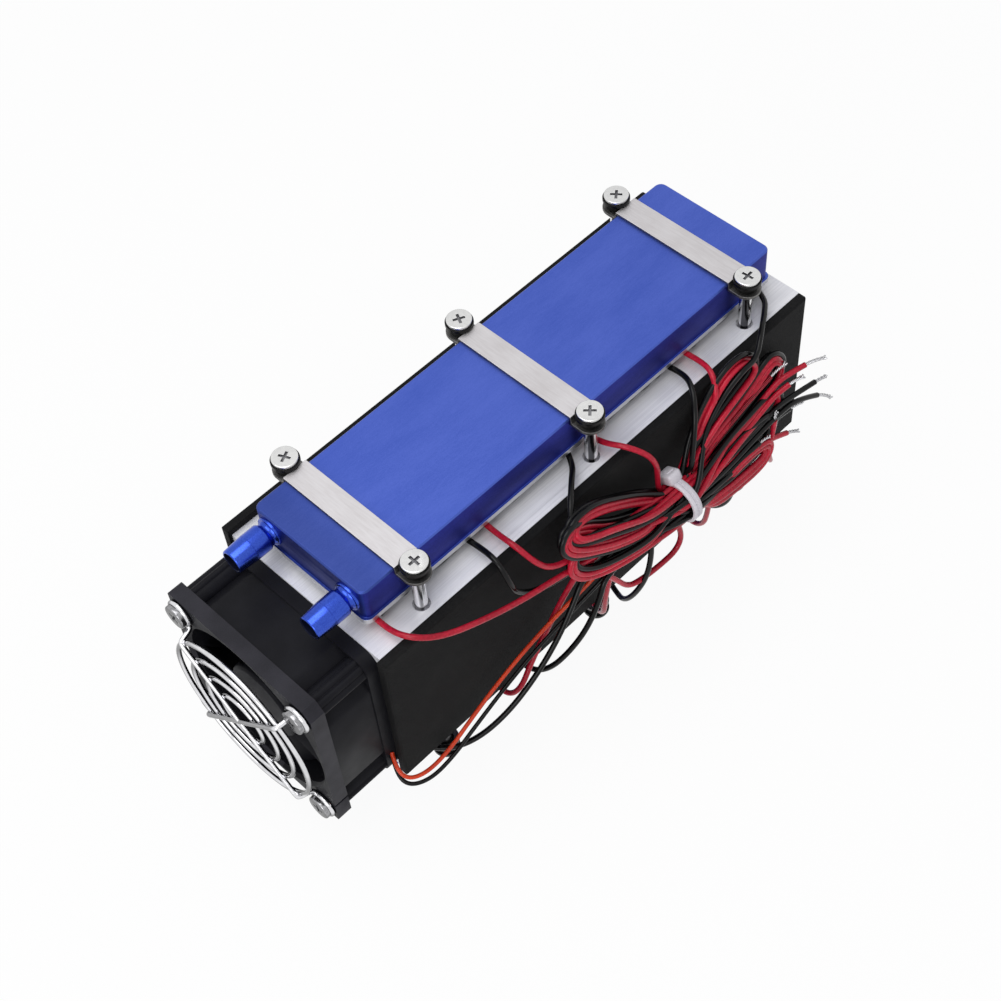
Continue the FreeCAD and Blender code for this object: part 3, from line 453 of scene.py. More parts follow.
@dataclass(frozen=True)
class Anodised(Finish):
    """Dyed aluminium with a fine blasted grain.

    Attributes:
        light: the dye where it is brightest.
        dark: the dye in its darker grain.
        roughness: how dull it is.
        grain: the blasted grain's size in millimetres.
        depth: its depth in millimetres.
        front_shade: how much of the colour is left at the fan's end, a painted shade.
        front_shade_span: the X from which the painted shade gives way and where the colour is full.
        cloud: the size of its paler patches along X, Y and Z in millimetres.
        rubbed: the size of its rubbed marks.
        contrast: where the grain starts to darken and where it is darkest.
    """

    light: Colour = (0.1, 0.2, 0.8)
    dark: Colour = (0.05, 0.1, 0.6)
    roughness: float = 0.4
    grain: float = 0.3
    depth: float = 0.01
    front_shade: float = 1.0
    front_shade_span: Span = (-66.0, -44.0)
    cloud: Point = (26.0, 9.0, 6.0)
    rubbed: Point = (3.0, 0.5, 0.5)
    contrast: Span = (0.32, 0.68)

    def paint(self, surface: Surface) -> None:
        """Writes the dyed metal.

        Args:
            surface: an empty surface.
        """
        grain = surface.noise((self.grain,) * 3, 2.0, 0.6)
        cloud = surface.noise(self.cloud, 3.0, 0.5, 2.3)
        rubbed = surface.noise(self.rubbed, 3.0, 0.6, 7.7)
        share = (grain * 0.4 + cloud * 0.4 + rubbed * 0.2).step(*self.contrast)
        # Painted shade: the colour is darker towards the fan's end of the block's top.
        light, dark = (tuple(part * self.front_shade for part in colour) for colour in (self.light, self.dark))
        colour = surface.mix(surface.mix(light, dark, share), surface.mix(self.light, self.dark, share),
                             surface.axis(0).step(*self.front_shade_span))
        surface.drive(Base_Color=colour, Roughness=cloud * 0.12 + rubbed * 0.08 + (self.roughness - 0.1))
        surface.constant(Metallic=1.0)
        surface.bump(grain, self.depth)


@dataclass(frozen=True)
class Moulded(Finish):
    """A plastic, rubber or laminate.

    Attributes:
        light: the colour in its lighter patches.
        dark: the colour in its darker patches.
        roughness: how dull it is.
        grain: the size of its grain in millimetres.
        depth: the depth of its grain in millimetres.
        gloss: how strongly it reflects straight on.
        patch: how many grains wide its patches are.
        contrast: where the patches start to darken and where they are darkest.
        spread: how much the roughness varies with the patches.
    """

    light: Colour = (0.02, 0.02, 0.02)
    dark: Colour = (0.01, 0.01, 0.01)
    roughness: float = 0.5
    grain: float = 0.3
    depth: float = 0.01
    gloss: float = 0.5
    patch: int = 30
    contrast: Span = (0.3, 0.7)
    spread: float = 0.16

    def paint(self, surface: Surface) -> None:
        """Writes the plastic, rubber or laminate.

        Args:
            surface: an empty surface.
        """
        fine = surface.noise((self.grain,) * 3, 3.0, 0.6)
        broad = surface.noise((self.grain * self.patch,) * 3, 2.0, 0.5, 5.3)
        share = (fine * 0.5 + broad * 0.5).step(*self.contrast)
        surface.drive(Base_Color=surface.mix(self.light, self.dark, share),
                      Roughness=broad * self.spread + (self.roughness - self.spread / 2))
        surface.constant(Specular_IOR_Level=self.gloss)
        surface.bump(fine, self.depth)


@dataclass(frozen=True)
class Foam(Finish):
    """Closed-cell foam board: a matte skin with pores and a few rubbed patches.

    Attributes:
        skin: the colour of the skin.
        rubbed: the colour where it is rubbed.
        pore: the size of its pores in millimetres.
        patch: the size of its rubbed patches along X, Y and Z in millimetres.
        contrast: where the rubbed colour starts and where it is full.
        pit: where a pore's wall starts and ends, in its noise.
        depth: the pores' depth in millimetres.
        roughness: how dull its skin is.
        spread: how much duller its rubbed patches are.
        gloss: how strongly it reflects straight on.
    """

    skin: Colour = (0.0062, 0.0062, 0.0066)
    rubbed: Colour = (0.0150, 0.0150, 0.0150)
    pore: float = 0.45
    patch: Point = (22.0, 8.0, 13.0)
    contrast: Span = (0.44, 0.72)
    pit: Span = (0.3, 0.62)
    depth: float = 0.09
    roughness: float = 0.62
    spread: float = 0.2
    gloss: float = 0.10

    def paint(self, surface: Surface) -> None:
        """Writes the foam.

        Args:
            surface: an empty surface.
        """
        pores = surface.noise((self.pore,) * 3, 2.0, 0.55)
        patches = surface.noise(self.patch, 3.0, 0.6, 4.1)
        share = (pores * 0.35 + patches * 0.65).step(*self.contrast)
        surface.drive(Base_Color=surface.mix(self.skin, self.rubbed, share),
                      Roughness=patches * self.spread + self.roughness)
        surface.constant(Specular_IOR_Level=self.gloss)
        surface.bump(pores.step(*self.pit), self.depth)


@dataclass(frozen=True)
class SealedCeramic(Finish):
    """A thermoelectric module: two pale ceramic plates and the dark seal between them.

    Attributes:
        ceramic: the plates' colour.
        seal: the seal's colour.
        plate: the plates' thickness in millimetres.
        thickness: the whole thickness in millimetres.
        blur: how far the seal's colour runs over a plate's edge.
        shade: how much of the plates' colour is left in their darker grain.
        roughness: how dull the plates are.
    """

    ceramic: Colour = (0.80, 0.79, 0.76)
    seal: Colour = (0.02, 0.02, 0.022)
    plate: float = 0.8
    thickness: float = 3.8
    blur: float = 0.04
    shade: float = 0.88
    roughness: float = 0.62

    def paint(self, surface: Surface) -> None:
        """Writes the module.

        Args:
            surface: an empty surface.
        """
        height = abs(surface.axis(2) - MIDDLE_Z) - SINK_HEIGHT
        upper = self.thickness - self.plate
        inside = (height.step(self.plate - self.blur, self.plate + self.blur)
                  * (1.0 - height.step(upper - self.blur, upper + self.blur)))
        grain = surface.noise((0.3,) * 3, 3.0, 0.6)
        shaded = surface.mix(self.ceramic, tuple(part * self.shade for part in self.ceramic), grain.step(0.35, 0.7))
        surface.drive(Base_Color=surface.mix(shaded, self.seal, inside), Roughness=inside * -0.2 + self.roughness)
        surface.bump(grain, 0.01)


PLATE = Metal("plate_aluminium", "sink_aluminium", (0.94, 0.94, 0.97), (0.66, 0.66, 0.70), 0.40,
              (30.0, 0.12, 0.12), 0.02, 0.16, metallic=0.25)
STRAP = Metal("strap_aluminium", "strap_aluminium", (0.60, 0.585, 0.60), (0.51, 0.49, 0.50), 0.46,
              (0.5, 6.0, 0.5), 0.008, 0.12)
# The straps' side faces and ears take a darker copy of the strap: painted shade.
STRAP_SHADE = Metal("strap_painted_shade", "strap_aluminium", (0.20, 0.195, 0.19), (0.08, 0.08, 0.08), 0.44, (0.5, 0.5, 0.5), 0.008, 0.12)
FOOT = Metal("block_foot_aluminium", "sink_aluminium", (0.62, 0.62, 0.63), (0.40, 0.40, 0.42), 0.34,
             (12.0, 0.2, 0.2), 0.01)
BLUE = Anodised("blue_anodised", "blue_anodised", (0.082, 0.130, 0.500), (0.056, 0.098, 0.420), 0.48, 0.24, 0.012, 0.62)
# The block's sides and front end are darker copies of the blue: painted shade.
BLUE_SIDE_SHADE = Anodised("blue_side_painted_shade", "blue_anodised", (0.028, 0.036, 0.290),
                     (0.016, 0.021, 0.185), 0.46, 0.30, 0.012)
BLUE_END_SHADE = Anodised("blue_end_painted_shade", "blue_anodised", (0.030, 0.052, 0.320),
                      (0.016, 0.030, 0.220), 0.46, 0.30, 0.012)
BLUE_TURNED = Anodised("blue_turned", "blue_anodised", (0.055, 0.115, 0.580), (0.026, 0.058, 0.400), 0.25, 0.35, 0.002)
# STEEL, TINNED, FAN_STEEL and CHROME are given a rim: a painted dark reflection where they turn away from the eye.
STEEL = Metal("screw_steel", "screw_steel", (0.74, 0.74, 0.73), (0.62, 0.62, 0.62), 0.26,
              (1.0, 1.0, 1.0), 0.006, 0.12, 0.9)
# Darker steel for the screws' recesses: painted shade.
RECESS_SHADE = Metal("screw_recess_painted_shade", "screw_steel", (0.30, 0.30, 0.31), (0.12, 0.12, 0.13), 0.50, (0.4, 0.4, 0.4), 0.01)
FAN_STEEL = Metal("fan_screw_steel", "screw_steel", (0.42, 0.42, 0.43), (0.20, 0.20, 0.21), 0.20,
                  (0.8, 0.8, 0.8), 0.01, 0.12, 1.0)
# The clamp screws' shanks carry a painted reflection.
SHANK_PAINTED_REFLECTION = PaintedReflectionRod("screw_shank_painted_reflection", "screw_steel")
TINNED = Metal("tinned_copper", "screw_steel", (0.72, 0.72, 0.74), (0.36, 0.36, 0.38), 0.26,
               (0.4, 0.4, 0.4), 0.01, 0.12, 0.9)
CORE = Metal("core_steel", "core_steel", (0.42, 0.42, 0.44), (0.30, 0.30, 0.32), 0.42)
COPPER = Metal("coil_copper", "coil_copper", (0.70, 0.34, 0.16), (0.55, 0.24, 0.10), 0.35, (0.3, 0.3, 3.0), 0.05)
FERRITE = Metal("magnet_ferrite", "magnet_ferrite", (0.13, 0.13, 0.14), (0.09, 0.09, 0.10), 0.55)
CHROME = Metal("guard_chrome", "guard_chrome", (0.80, 0.80, 0.82), (0.66, 0.66, 0.68), 0.12,
               (2.0, 2.0, 2.0), 0.004, 0.08, 1.0)
FAN_PLASTIC = Moulded("fan_plastic", "fan_plastic", (0.0095, 0.0095, 0.0125),
                      (0.0050, 0.0050, 0.0070), 0.48, 0.25, 0.012, 0.10)
# A lighter copy of the fan's plastic for the front flange's edge: painted highlight.
FAN_FLANGE_HIGHLIGHT = Moulded("fan_flange_painted_highlight", "fan_plastic", (0.0300, 0.0290, 0.0370),
                     (0.0170, 0.0165, 0.0210), 0.50, 0.25, 0.016, 0.16)
NYLON_BLACK = Moulded("black_nylon", "black_nylon", (0.004, 0.004, 0.004),
                      (0.002, 0.002, 0.002), 0.32, 0.4, 0.006, 0.16)
NYLON_WHITE = Moulded("white_nylon", "white_nylon", (0.76, 0.74, 0.79), (0.60, 0.57, 0.62), 0.28, 0.4, 0.006, 0.4)
LAMINATE = Moulded("board_laminate", "board_laminate", (0.03, 0.20, 0.07), (0.02, 0.15, 0.05), 0.35, 0.4, 0.004)
RED = Moulded("red_sheath", "red_sheath", (0.60, 0.014, 0.042), (0.30, 0.007, 0.020), 0.22, 0.9, 0.014, 0.24)
FAN_RED = Moulded("orange_red_sheath", "red_sheath", (0.74, 0.060, 0.012), (0.50, 0.030, 0.008), 0.24, 0.5, 0.010, 0.30)
BLACK = Moulded("black_sheath", "black_sheath", (0.0040, 0.0040, 0.0045),
                (0.0022, 0.0022, 0.0025), 0.22, 0.5, 0.012, 0.20)
SEALANT = Moulded("black_sealant", "black_sheath", (0.005, 0.005, 0.005), (0.003, 0.003, 0.003), 0.60, 0.5, 0.05, 0.10)
# The barbs' bores: painted shade inside them.
BORE_SHADE = Moulded("bore_painted_shade", "blue_anodised", (0.004, 0.006, 0.022), (0.002, 0.003, 0.012), 0.5, 0.4, 0.01, 0.10)
BOARD = Foam("black_foam", "black_foam")
MODULE = SealedCeramic("module_ceramic", "module_ceramic")

# How wide the broken edges of a CAD node are in millimetres, and its finishes, by a part of its name
NODE_LOOKS: dict[str, tuple[float, tuple[Finish, ...]]] = {
    "heatsink": (0.12, (PLATE,)), "water_block": (0.16, (FOOT, BLUE, BLUE_SIDE_SHADE, BLUE_END_SHADE)),
    "module": (0.06, (MODULE,)), "strap": (0.14, (STRAP, STRAP_SHADE)), "bushings": (0.12, (NYLON_BLACK,)),
    "clamp_screws": (0.07, (STEEL, RECESS_SHADE, SHANK_PAINTED_REFLECTION)), "side_board": (0.2, (BOARD,)),
    "fan_frame": (0.22, (FAN_PLASTIC, FAN_FLANGE_HIGHLIGHT)), "impeller": (0.16, (FAN_PLASTIC,)),
    "fan_screws": (0.08, (FAN_STEEL, RECESS_SHADE)), "bearings": (0.05, (STEEL,)), "shaft": (0.05, (STEEL,)),
    "stator_core": (0.05, (CORE,)), "stator_coils": (0.05, (COPPER,)), "motor_board": (0.05, (LAMINATE,)),
    "magnet": (0.05, (FERRITE,)), "yoke": (0.05, (CORE,)),
}


@dataclass(frozen=True)
class Piece:
    """A new mesh or curve, which may take the place of CAD nodes.

    Attributes:
        name: its name.
        body: the CAD body that it moves with.
        nodes: the CAD nodes that it stands for.
        finishes: its finishes in the order of its faces' material numbers.
    """

    name: str
    body: str
    nodes: Sequence[str]
    finishes: Sequence[Finish]

    def show(self, data: bpy.types.Mesh | bpy.types.Curve) -> bpy.types.Object:
        """Puts the mesh or curve in the scene and ties it to the frame.

        Args:
            data: the finished mesh or curve, in metres in the row frame.

        Returns:
            The object.
        """
        for finish in self.finishes:
            data.materials.append(finish.make())
        obj = bpy.data.objects.new(self.name, data)
        bpy.context.scene.collection.objects.link(obj)
        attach(obj, self.body)
        if self.nodes:
            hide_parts(*self.nodes)
        LOG.info("%s: %s", self.name, self.finishes[0].name)
        return obj

    def mesh(self, shape: bmesh.types.BMesh, sharp: float = 35.0) -> bpy.types.Object:
        """Turns a bmesh in millimetres into the piece.

        Args:
            shape: the shape, which is freed.
            sharp: the angle in degrees from which an edge is shaded sharp.

        Returns:
            The object.
        """
        bmesh.ops.remove_doubles(shape, verts=shape.verts, dist=WELD)
        bmesh.ops.recalc_face_normals(shape, faces=shape.faces)
        bmesh.ops.scale(shape, vec=(MM, MM, MM), verts=shape.verts)
        for face in shape.faces:
            face.smooth = True
        mesh = bpy.data.meshes.new(self.name)
        shape.to_mesh(mesh)
        shape.free()
        mesh.set_sharp_from_angle(angle=math.radians(sharp))
        return self.show(mesh)


def broken_edges(obj: bpy.types.Object, width: float) -> None:
    """Breaks an object's sharp edges.

    Args:
        obj: the object.
        width: how wide the broken edges are, in millimetres.
    """
    bevel = obj.modifiers.new("edges", "BEVEL")
    bevel.width = width * MM
    bevel.segments = 2
    bevel.limit_method = "ANGLE"
    bevel.angle_limit = math.radians(SHARP_TURN)
    bevel.harden_normals = True


def refined(node: str, body: str, choose: Callable[[bmesh.types.BMFace], int] | None = None) -> None:
    """Shows a CAD node through a finer copy: its flat faces are joined again and its sharp edges broken.

    Args:
        node: the node.
        body: the CAD body that it belongs to.
        choose: with several finishes, gives the number of a face's finish.
    """
    edge, finishes = next(look for key, look in NODE_LOOKS.items() if key in node)
    shape = bmesh.new()
    shape.from_mesh(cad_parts[node].data)
    bmesh.ops.scale(shape, vec=(1 / MM,) * 3, verts=shape.verts)
    bmesh.ops.remove_doubles(shape, verts=shape.verts, dist=CAD_WELD)
    bmesh.ops.dissolve_limit(shape, angle_limit=FLAT_TURN, verts=shape.verts, edges=shape.edges)
    if choose:
        for face in shape.faces:
            face.material_index = choose(face)
    broken_edges(Piece(node + "_finished", body, (node,), finishes).mesh(shape, SHARP_TURN), edge)


@dataclass(frozen=True)
class Barb:
    """A turned hose barb: flange, hollow neck, land and tapered nose round its bore.

    Attributes:
        half: the half that it is on.
        side: its side as seen from the fan, right or left.
        row: the Y of its axis.
        face: how far the block's front face stands behind the heatsink's.
        height: how high its axis is above the heatsink.
        spigot: how far it reaches into the block.
        bore: its bore's radius.
        steps: how many sides it is round with.
        flange: the flange's outline, as the distance out from the block's face and the radius.
        neck: where the hollow neck starts, its length, its radius and how hollow it is.
        nose: the outline of the land and the nose.
    """

    half: Half
    side: str
    row: float
    face: float = 4.3
    height: float = 11.575
    spigot: float = 1.6
    bore: float = 3.0
    steps: int = 56
    flange: tuple[Span, ...] = ((0.0, 3.7), (0.0, 4.6), (0.55, 4.6), (0.75, 4.5))
    neck: tuple[float, float, float, float] = (0.8, 1.9, 4.15, 0.62)
    nose: tuple[Span, ...] = (
        (2.74, 4.02), (2.95, 4.18), (3.2, 4.2), (7.9, 4.2), (7.96, 4.13), (8.08, 4.13), (8.14, 4.18), (14.0, 3.80),
        (14.25, 3.70), (14.4, 3.52), (14.4, 3.2), (14.2, 3.0),
    )

    def profile(self) -> list[Span]:
        """The outline from the end of the spigot to the tip.

        Returns:
            The distance out from the block's face and the radius of each of its points.
        """
        start, length, radius, hollow = self.neck
        neck = [(start + length * i / 6, radius - hollow * math.sin(math.pi * (0.12 + 0.80 * i / 6))) for i in range(7)]
        return [(-self.spigot, self.bore), (-self.spigot, self.flange[0][1]), *self.flange, *neck, *self.nose]

    def build(self) -> None:
        """Spins the outline and shows the barb."""
        axis = self.half.place(from_datum(self.face, self.row, self.height))
        shape = bmesh.new()
        rim = [shape.verts.new(axis + Vector((-out, 0, radius))) for out, radius in self.profile()]
        edges = [shape.edges.new(pair) for pair in zip(rim, rim[1:] + rim[:1])]
        bmesh.ops.spin(shape, geom=rim + edges, cent=axis, axis=(1, 0, 0), angle=2 * math.pi, steps=self.steps,
                       use_merge=True)
        # Faces inside the bore take the bore's painted shade.
        for face in shape.faces:
            centre = face.calc_center_median() - axis
            face.material_index = int(math.hypot(centre.y, centre.z) < self.bore + 0.1)
        node = f"{self.half.value}_{self.side}_barb"
        Piece(node + "_turned", CHASSIS, (node,), (BLUE_TURNED, BORE_SHADE)).mesh(shape, 40.0)


@dataclass(frozen=True)
class ClampedHalf:
    """One half: heatsink, four modules, water block, three straps and their screws and bushings.

    Attributes:
        half: which half it is.
        foot: how far the block's bare foot reaches from the middle height.
        modules: how many modules it has.
        barb_rows: its barbs' sides and the Y of their axes.
        screw_rows: the places of its straps' screws along the heatsink.
        screw_y: their distance from the middle.
        ear_from: the distance from the middle at which a strap's ears start.
        head_from: the distance of the screw heads' underside from the middle height.
        recess_from: that of the recesses' floor.
        recess_to: that of the recesses' rim.
        recess_reach: the recesses' radius.
    """

    half: Half
    foot: float = 36.2
    modules: int = 4
    barb_rows: tuple[tuple[str, float], ...] = (("right", -16.0), ("left", 16.0))
    screw_rows: tuple[float, ...] = (20.4, 89.4, 158.4)
    screw_y: float = 26.3
    ear_from: float = 23.5
    head_from: float = 50.5
    recess_from: float = 50.6
    recess_to: float = 51.5
    recess_reach: float = 2.3

    def block_finish(self, face: bmesh.types.BMFace) -> int:
        """Tells the water block's bare foot, blue top, and its sides and ends, darker with painted shade, apart.

        Args:
            face: one of its faces.

        Returns:
            The number of the face's finish.
        """
        if abs(face.calc_center_median().z - MIDDLE_Z) < self.foot:
            return 0
        normal = face.normal
        if abs(normal.z) > 0.5:
            return 1
        return 2 if abs(normal.y) > abs(normal.x) else 3

    def strap_finish(self, face: bmesh.types.BMFace) -> int:
        """Which finish a face of a strap has: its top, or its edges and ears, which carry painted shade."""
        return int(abs(face.normal.z) < 0.5 or abs(face.calc_center_median().y) > self.ear_from)

    def screw_finish(self, face: bmesh.types.BMFace) -> int:
        """Tells the clamp screws' heads, recesses with their painted shade and shanks with their painted reflection
        apart.

        Args:
            face: one of their faces.

        Returns:
            The number of the face's finish.
        """
        centre = face.calc_center_median()
        height = abs(centre.z - MIDDLE_Z)
        if height < self.head_from:
            return 2
        reach = min(math.hypot(centre.x - DATUM.x - x, abs(centre.y) - self.screw_y) for x in self.screw_rows)
        return int(self.recess_from < height < self.recess_to and reach < self.recess_reach)

    def build(self) -> None:
        """Builds and dresses the half."""
        name = self.half.value
        refined(f"{name}_heatsink", CHASSIS)
        refined(f"{name}_water_block", CHASSIS, self.block_finish)
        for number in range(1, self.modules + 1):
            refined(f"{name}_module_{number}", CHASSIS)
        for number in range(1, len(self.screw_rows) + 1):
            refined(f"{name}_strap_{number}", CHASSIS, self.strap_finish)
        refined(f"{name}_bushings", CHASSIS)
        refined(f"{name}_clamp_screws", CHASSIS, self.screw_finish)
        for side, row in self.barb_rows:
            Barb(self.half, side, row).build()
            SealBead(self.half, side).build()


def curve_data(name: str, radius: float, around: int, along: int) -> bpy.types.Curve:
    """An empty round curve.

    Args:
        name: its name.
        radius: its radius in millimetres.
        around: how finely it is round.
        along: how finely each span is divided.

    Returns:
        The curve.
    """
    curve = bpy.data.curves.new(name, "CURVE")
    curve.dimensions = "3D"
    curve.bevel_depth = radius * MM
    curve.bevel_resolution = around
    curve.resolution_u = along
    curve.use_fill_caps = True
    return curve


def add_line(curve: bpy.types.Curve, points: Sequence[Vector], closed: bool = False) -> None:
    """Adds a smooth line to a curve.

    Args:
        curve: the curve.
        points: its control points in millimetres.
        closed: True for a ring.
    """
    spline = curve.splines.new("NURBS")
    spline.points.add(len(points) - 1)
    for place, point in zip(spline.points, points):
        place.co = (*(Vector(point) * MM), 1.0)
    spline.order_u = 3
    spline.use_cyclic_u = closed
    spline.use_endpoint_u = not closed


@dataclass(frozen=True)
class SealBead:
    """The uneven line of sealant that is squeezed out along one side of the modules.

    Attributes:
        half: the half that it is on.
        side: its side as seen from the fan, right or left.
        inset: its distance from the middle.
        height: how high its middle is above the heatsink.
        radius: its greatest radius but for the swell.
        start: where it starts along the heatsink.
        end: where it ends.
        pace: the distance between its points.
        wander: how far it strays from its line.
        swell: how thin and how thick it gets.
    """

    half: Half
    side: str
    inset: float = 20.3
    height: float = 0.35
    radius: float = 0.9
    start: float = 10.0
    end: float = 173.6
    pace: float = 1.9
    wander: float = 0.2
    swell: Span = (0.35, 1.15)

    def build(self) -> None:
        """Lays and shows the bead."""
        name = f"{self.half.value}_{self.side}_sealant"
        chance = random.Random(name)
        curve = curve_data(name, self.radius, 2, 2)
        row = -self.inset if self.side == "right" else self.inset
        count = int((self.end - self.start) / self.pace)
        line = [(self.start + i * self.pace, row + chance.uniform(-self.wander, self.wander)) for i in range(count)]
        add_line(curve, [self.half.place(from_datum(x, y, self.height)) for x, y in line])
        for point in curve.splines[0].points:
            point.radius = chance.uniform(*self.swell)
        Piece(name, CHASSIS, (), (SEALANT,)).show(curve)


@dataclass(frozen=True)
class FingerGuard:
    """The wire guard on the fan: welded rings, two crossed bars that step back to their eyes, and the eyes.

    Attributes:
        face: the X of the fan's front face.
        wire: the wire's radius.
        rings: the rings' radii.
        standoff: how far the rings' middle stands off the face.
        bar_standoff: how far the bars' middle stands off it.
        eye: the eyes' radius.
        hole: the screws' distance from the fan's axis along Y and Z.
        straight: how far from the axis the bars are straight.
        bend: where they start to step back.
        knee: where they meet the face.
        ease: how soon before and after those two they turn.
        ring_points: how many control points a ring has.
    """

    face: float = -98.85
    wire: float = 0.8
    rings: tuple[float, ...] = (8.5, 14.83, 21.17, 27.5)
    standoff: float = 4.4
    bar_standoff: float = 5.7
    eye: float = 3.9
    hole: float = 25.0
    straight: float = 24.0
    bend: float = 28.5
    knee: float = 30.3
    ease: float = 0.5
    ring_points: int = 24

    def ring(self, radius: float, out: float, y: float, z: float) -> list[Vector]:
        """The control points of a ring facing along X.

        Args:
            radius: its radius.
            out: how far it stands off the fan's face.
            y: its centre's Y.
            z: its centre's Z above the fan's axis.

        Returns:
            The points, moved out a little because the line runs inside its corners.
        """
        reach = radius * 2 / (1 + math.cos(2 * math.pi / self.ring_points))
        turns = [2 * math.pi * i / self.ring_points for i in range(self.ring_points)]
        return [Vector((self.face - out, y + reach * math.cos(t), MIDDLE_Z + z + reach * math.sin(t))) for t in turns]

    def bar(self, turn: float) -> list[Vector]:
        """The control points of a bar from eye to eye.

        Args:
            turn: its angle about the fan's axis in degrees.

        Returns:
            The points, doubled where a run is straight.
        """
        corner = self.hole * math.sqrt(2) - self.eye
        side = [(corner, self.wire), (self.knee + self.ease, self.wire), (self.knee - 0.4, self.wire + self.ease),
                (self.bend + self.ease, self.bar_standoff - self.ease), (self.bend - self.ease, self.bar_standoff),
                (self.straight, self.bar_standoff)]
        both = side + [(-reach, out) for reach, out in reversed(side)]
        angle = math.radians(turn)
        return [Vector((self.face - out, reach * math.cos(angle), MIDDLE_Z + reach * math.sin(angle)))
                for reach, out in both]

    def build(self) -> None:
        """Bends and shows the guard."""
        curve = curve_data("finger_guard_wires", self.wire, 4, 5)
        for radius in self.rings:
            add_line(curve, self.ring(radius, self.standoff, 0, 0), True)
        for turn in (45, 135):
            add_line(curve, self.bar(turn))
        for y in (-self.hole, self.hole):
            for z in (-self.hole, self.hole):
                add_line(curve, self.ring(self.eye, self.wire, y, z), True)
        Piece("finger_guard_wires", CHASSIS, ("finger_guard",), (CHROME,)).show(curve)


@dataclass(frozen=True)
class Fan:
    """The fan: frame, motor, impeller, guard and long screws.

    Attributes:
        inside: the motor's nodes that stand still.
        turning: those that turn.
        hole: the screws' distance from the fan's axis along Y and Z.
        recess_reach: their recesses' radius.
        recess_span: how far behind the heads' front the recesses start and end.
        head_front: the X of the heads' front.
        flange_back: the X behind the front flange.
        flange_reach: how far from the axis the flange's edge has its painted highlight.
    """

    inside: tuple[str, ...] = ("fan_bearings", "stator_core", "stator_coils", "motor_board")
    turning: tuple[str, ...] = ("fan_shaft", "magnet_ring", "rotor_yoke")
    hole: float = 25.0
    recess_reach: float = 2.3
    recess_span: Span = (0.03, 0.9)
    head_front: float = -101.85
    flange_back: float = -94.0
    flange_reach: float = 28.5

    def frame_finish(self, face: bmesh.types.BMFace) -> int:
        """Tells the plain frame and the edge of its front flange, lighter with a painted highlight, apart.

        Args:
            face: one of its faces.

        Returns:
            The number of the face's finish.
        """
        centre = face.calc_center_median()
        reach = max(abs(centre.y), abs(centre.z - MIDDLE_Z))
        return int(centre.x < self.flange_back and reach > self.flange_reach and abs(face.normal.x) < 0.9)

    def screw_finish(self, face: bmesh.types.BMFace) -> int:
        """Tells the fan screws' heads and recesses, which carry painted shade, apart.

        Args:
            face: one of their faces.

        Returns:
            The number of the face's finish.
        """
        centre = face.calc_center_median()
        reach = math.hypot(abs(centre.y) - self.hole, abs(centre.z - MIDDLE_Z) - self.hole)
        front, back = (self.head_front + depth for depth in self.recess_span)
        return int(front < centre.x < back and reach < self.recess_reach)

    def build(self) -> None:
        """Builds and dresses the fan."""
        refined("fan_frame", CHASSIS, self.frame_finish)
        refined("impeller", ROTOR)
        refined("fan_screws", CHASSIS, self.screw_finish)
        for node in self.inside:
            refined(node, CHASSIS)
        for node in self.turning:
            refined(node, ROTOR)
        FingerGuard().build()


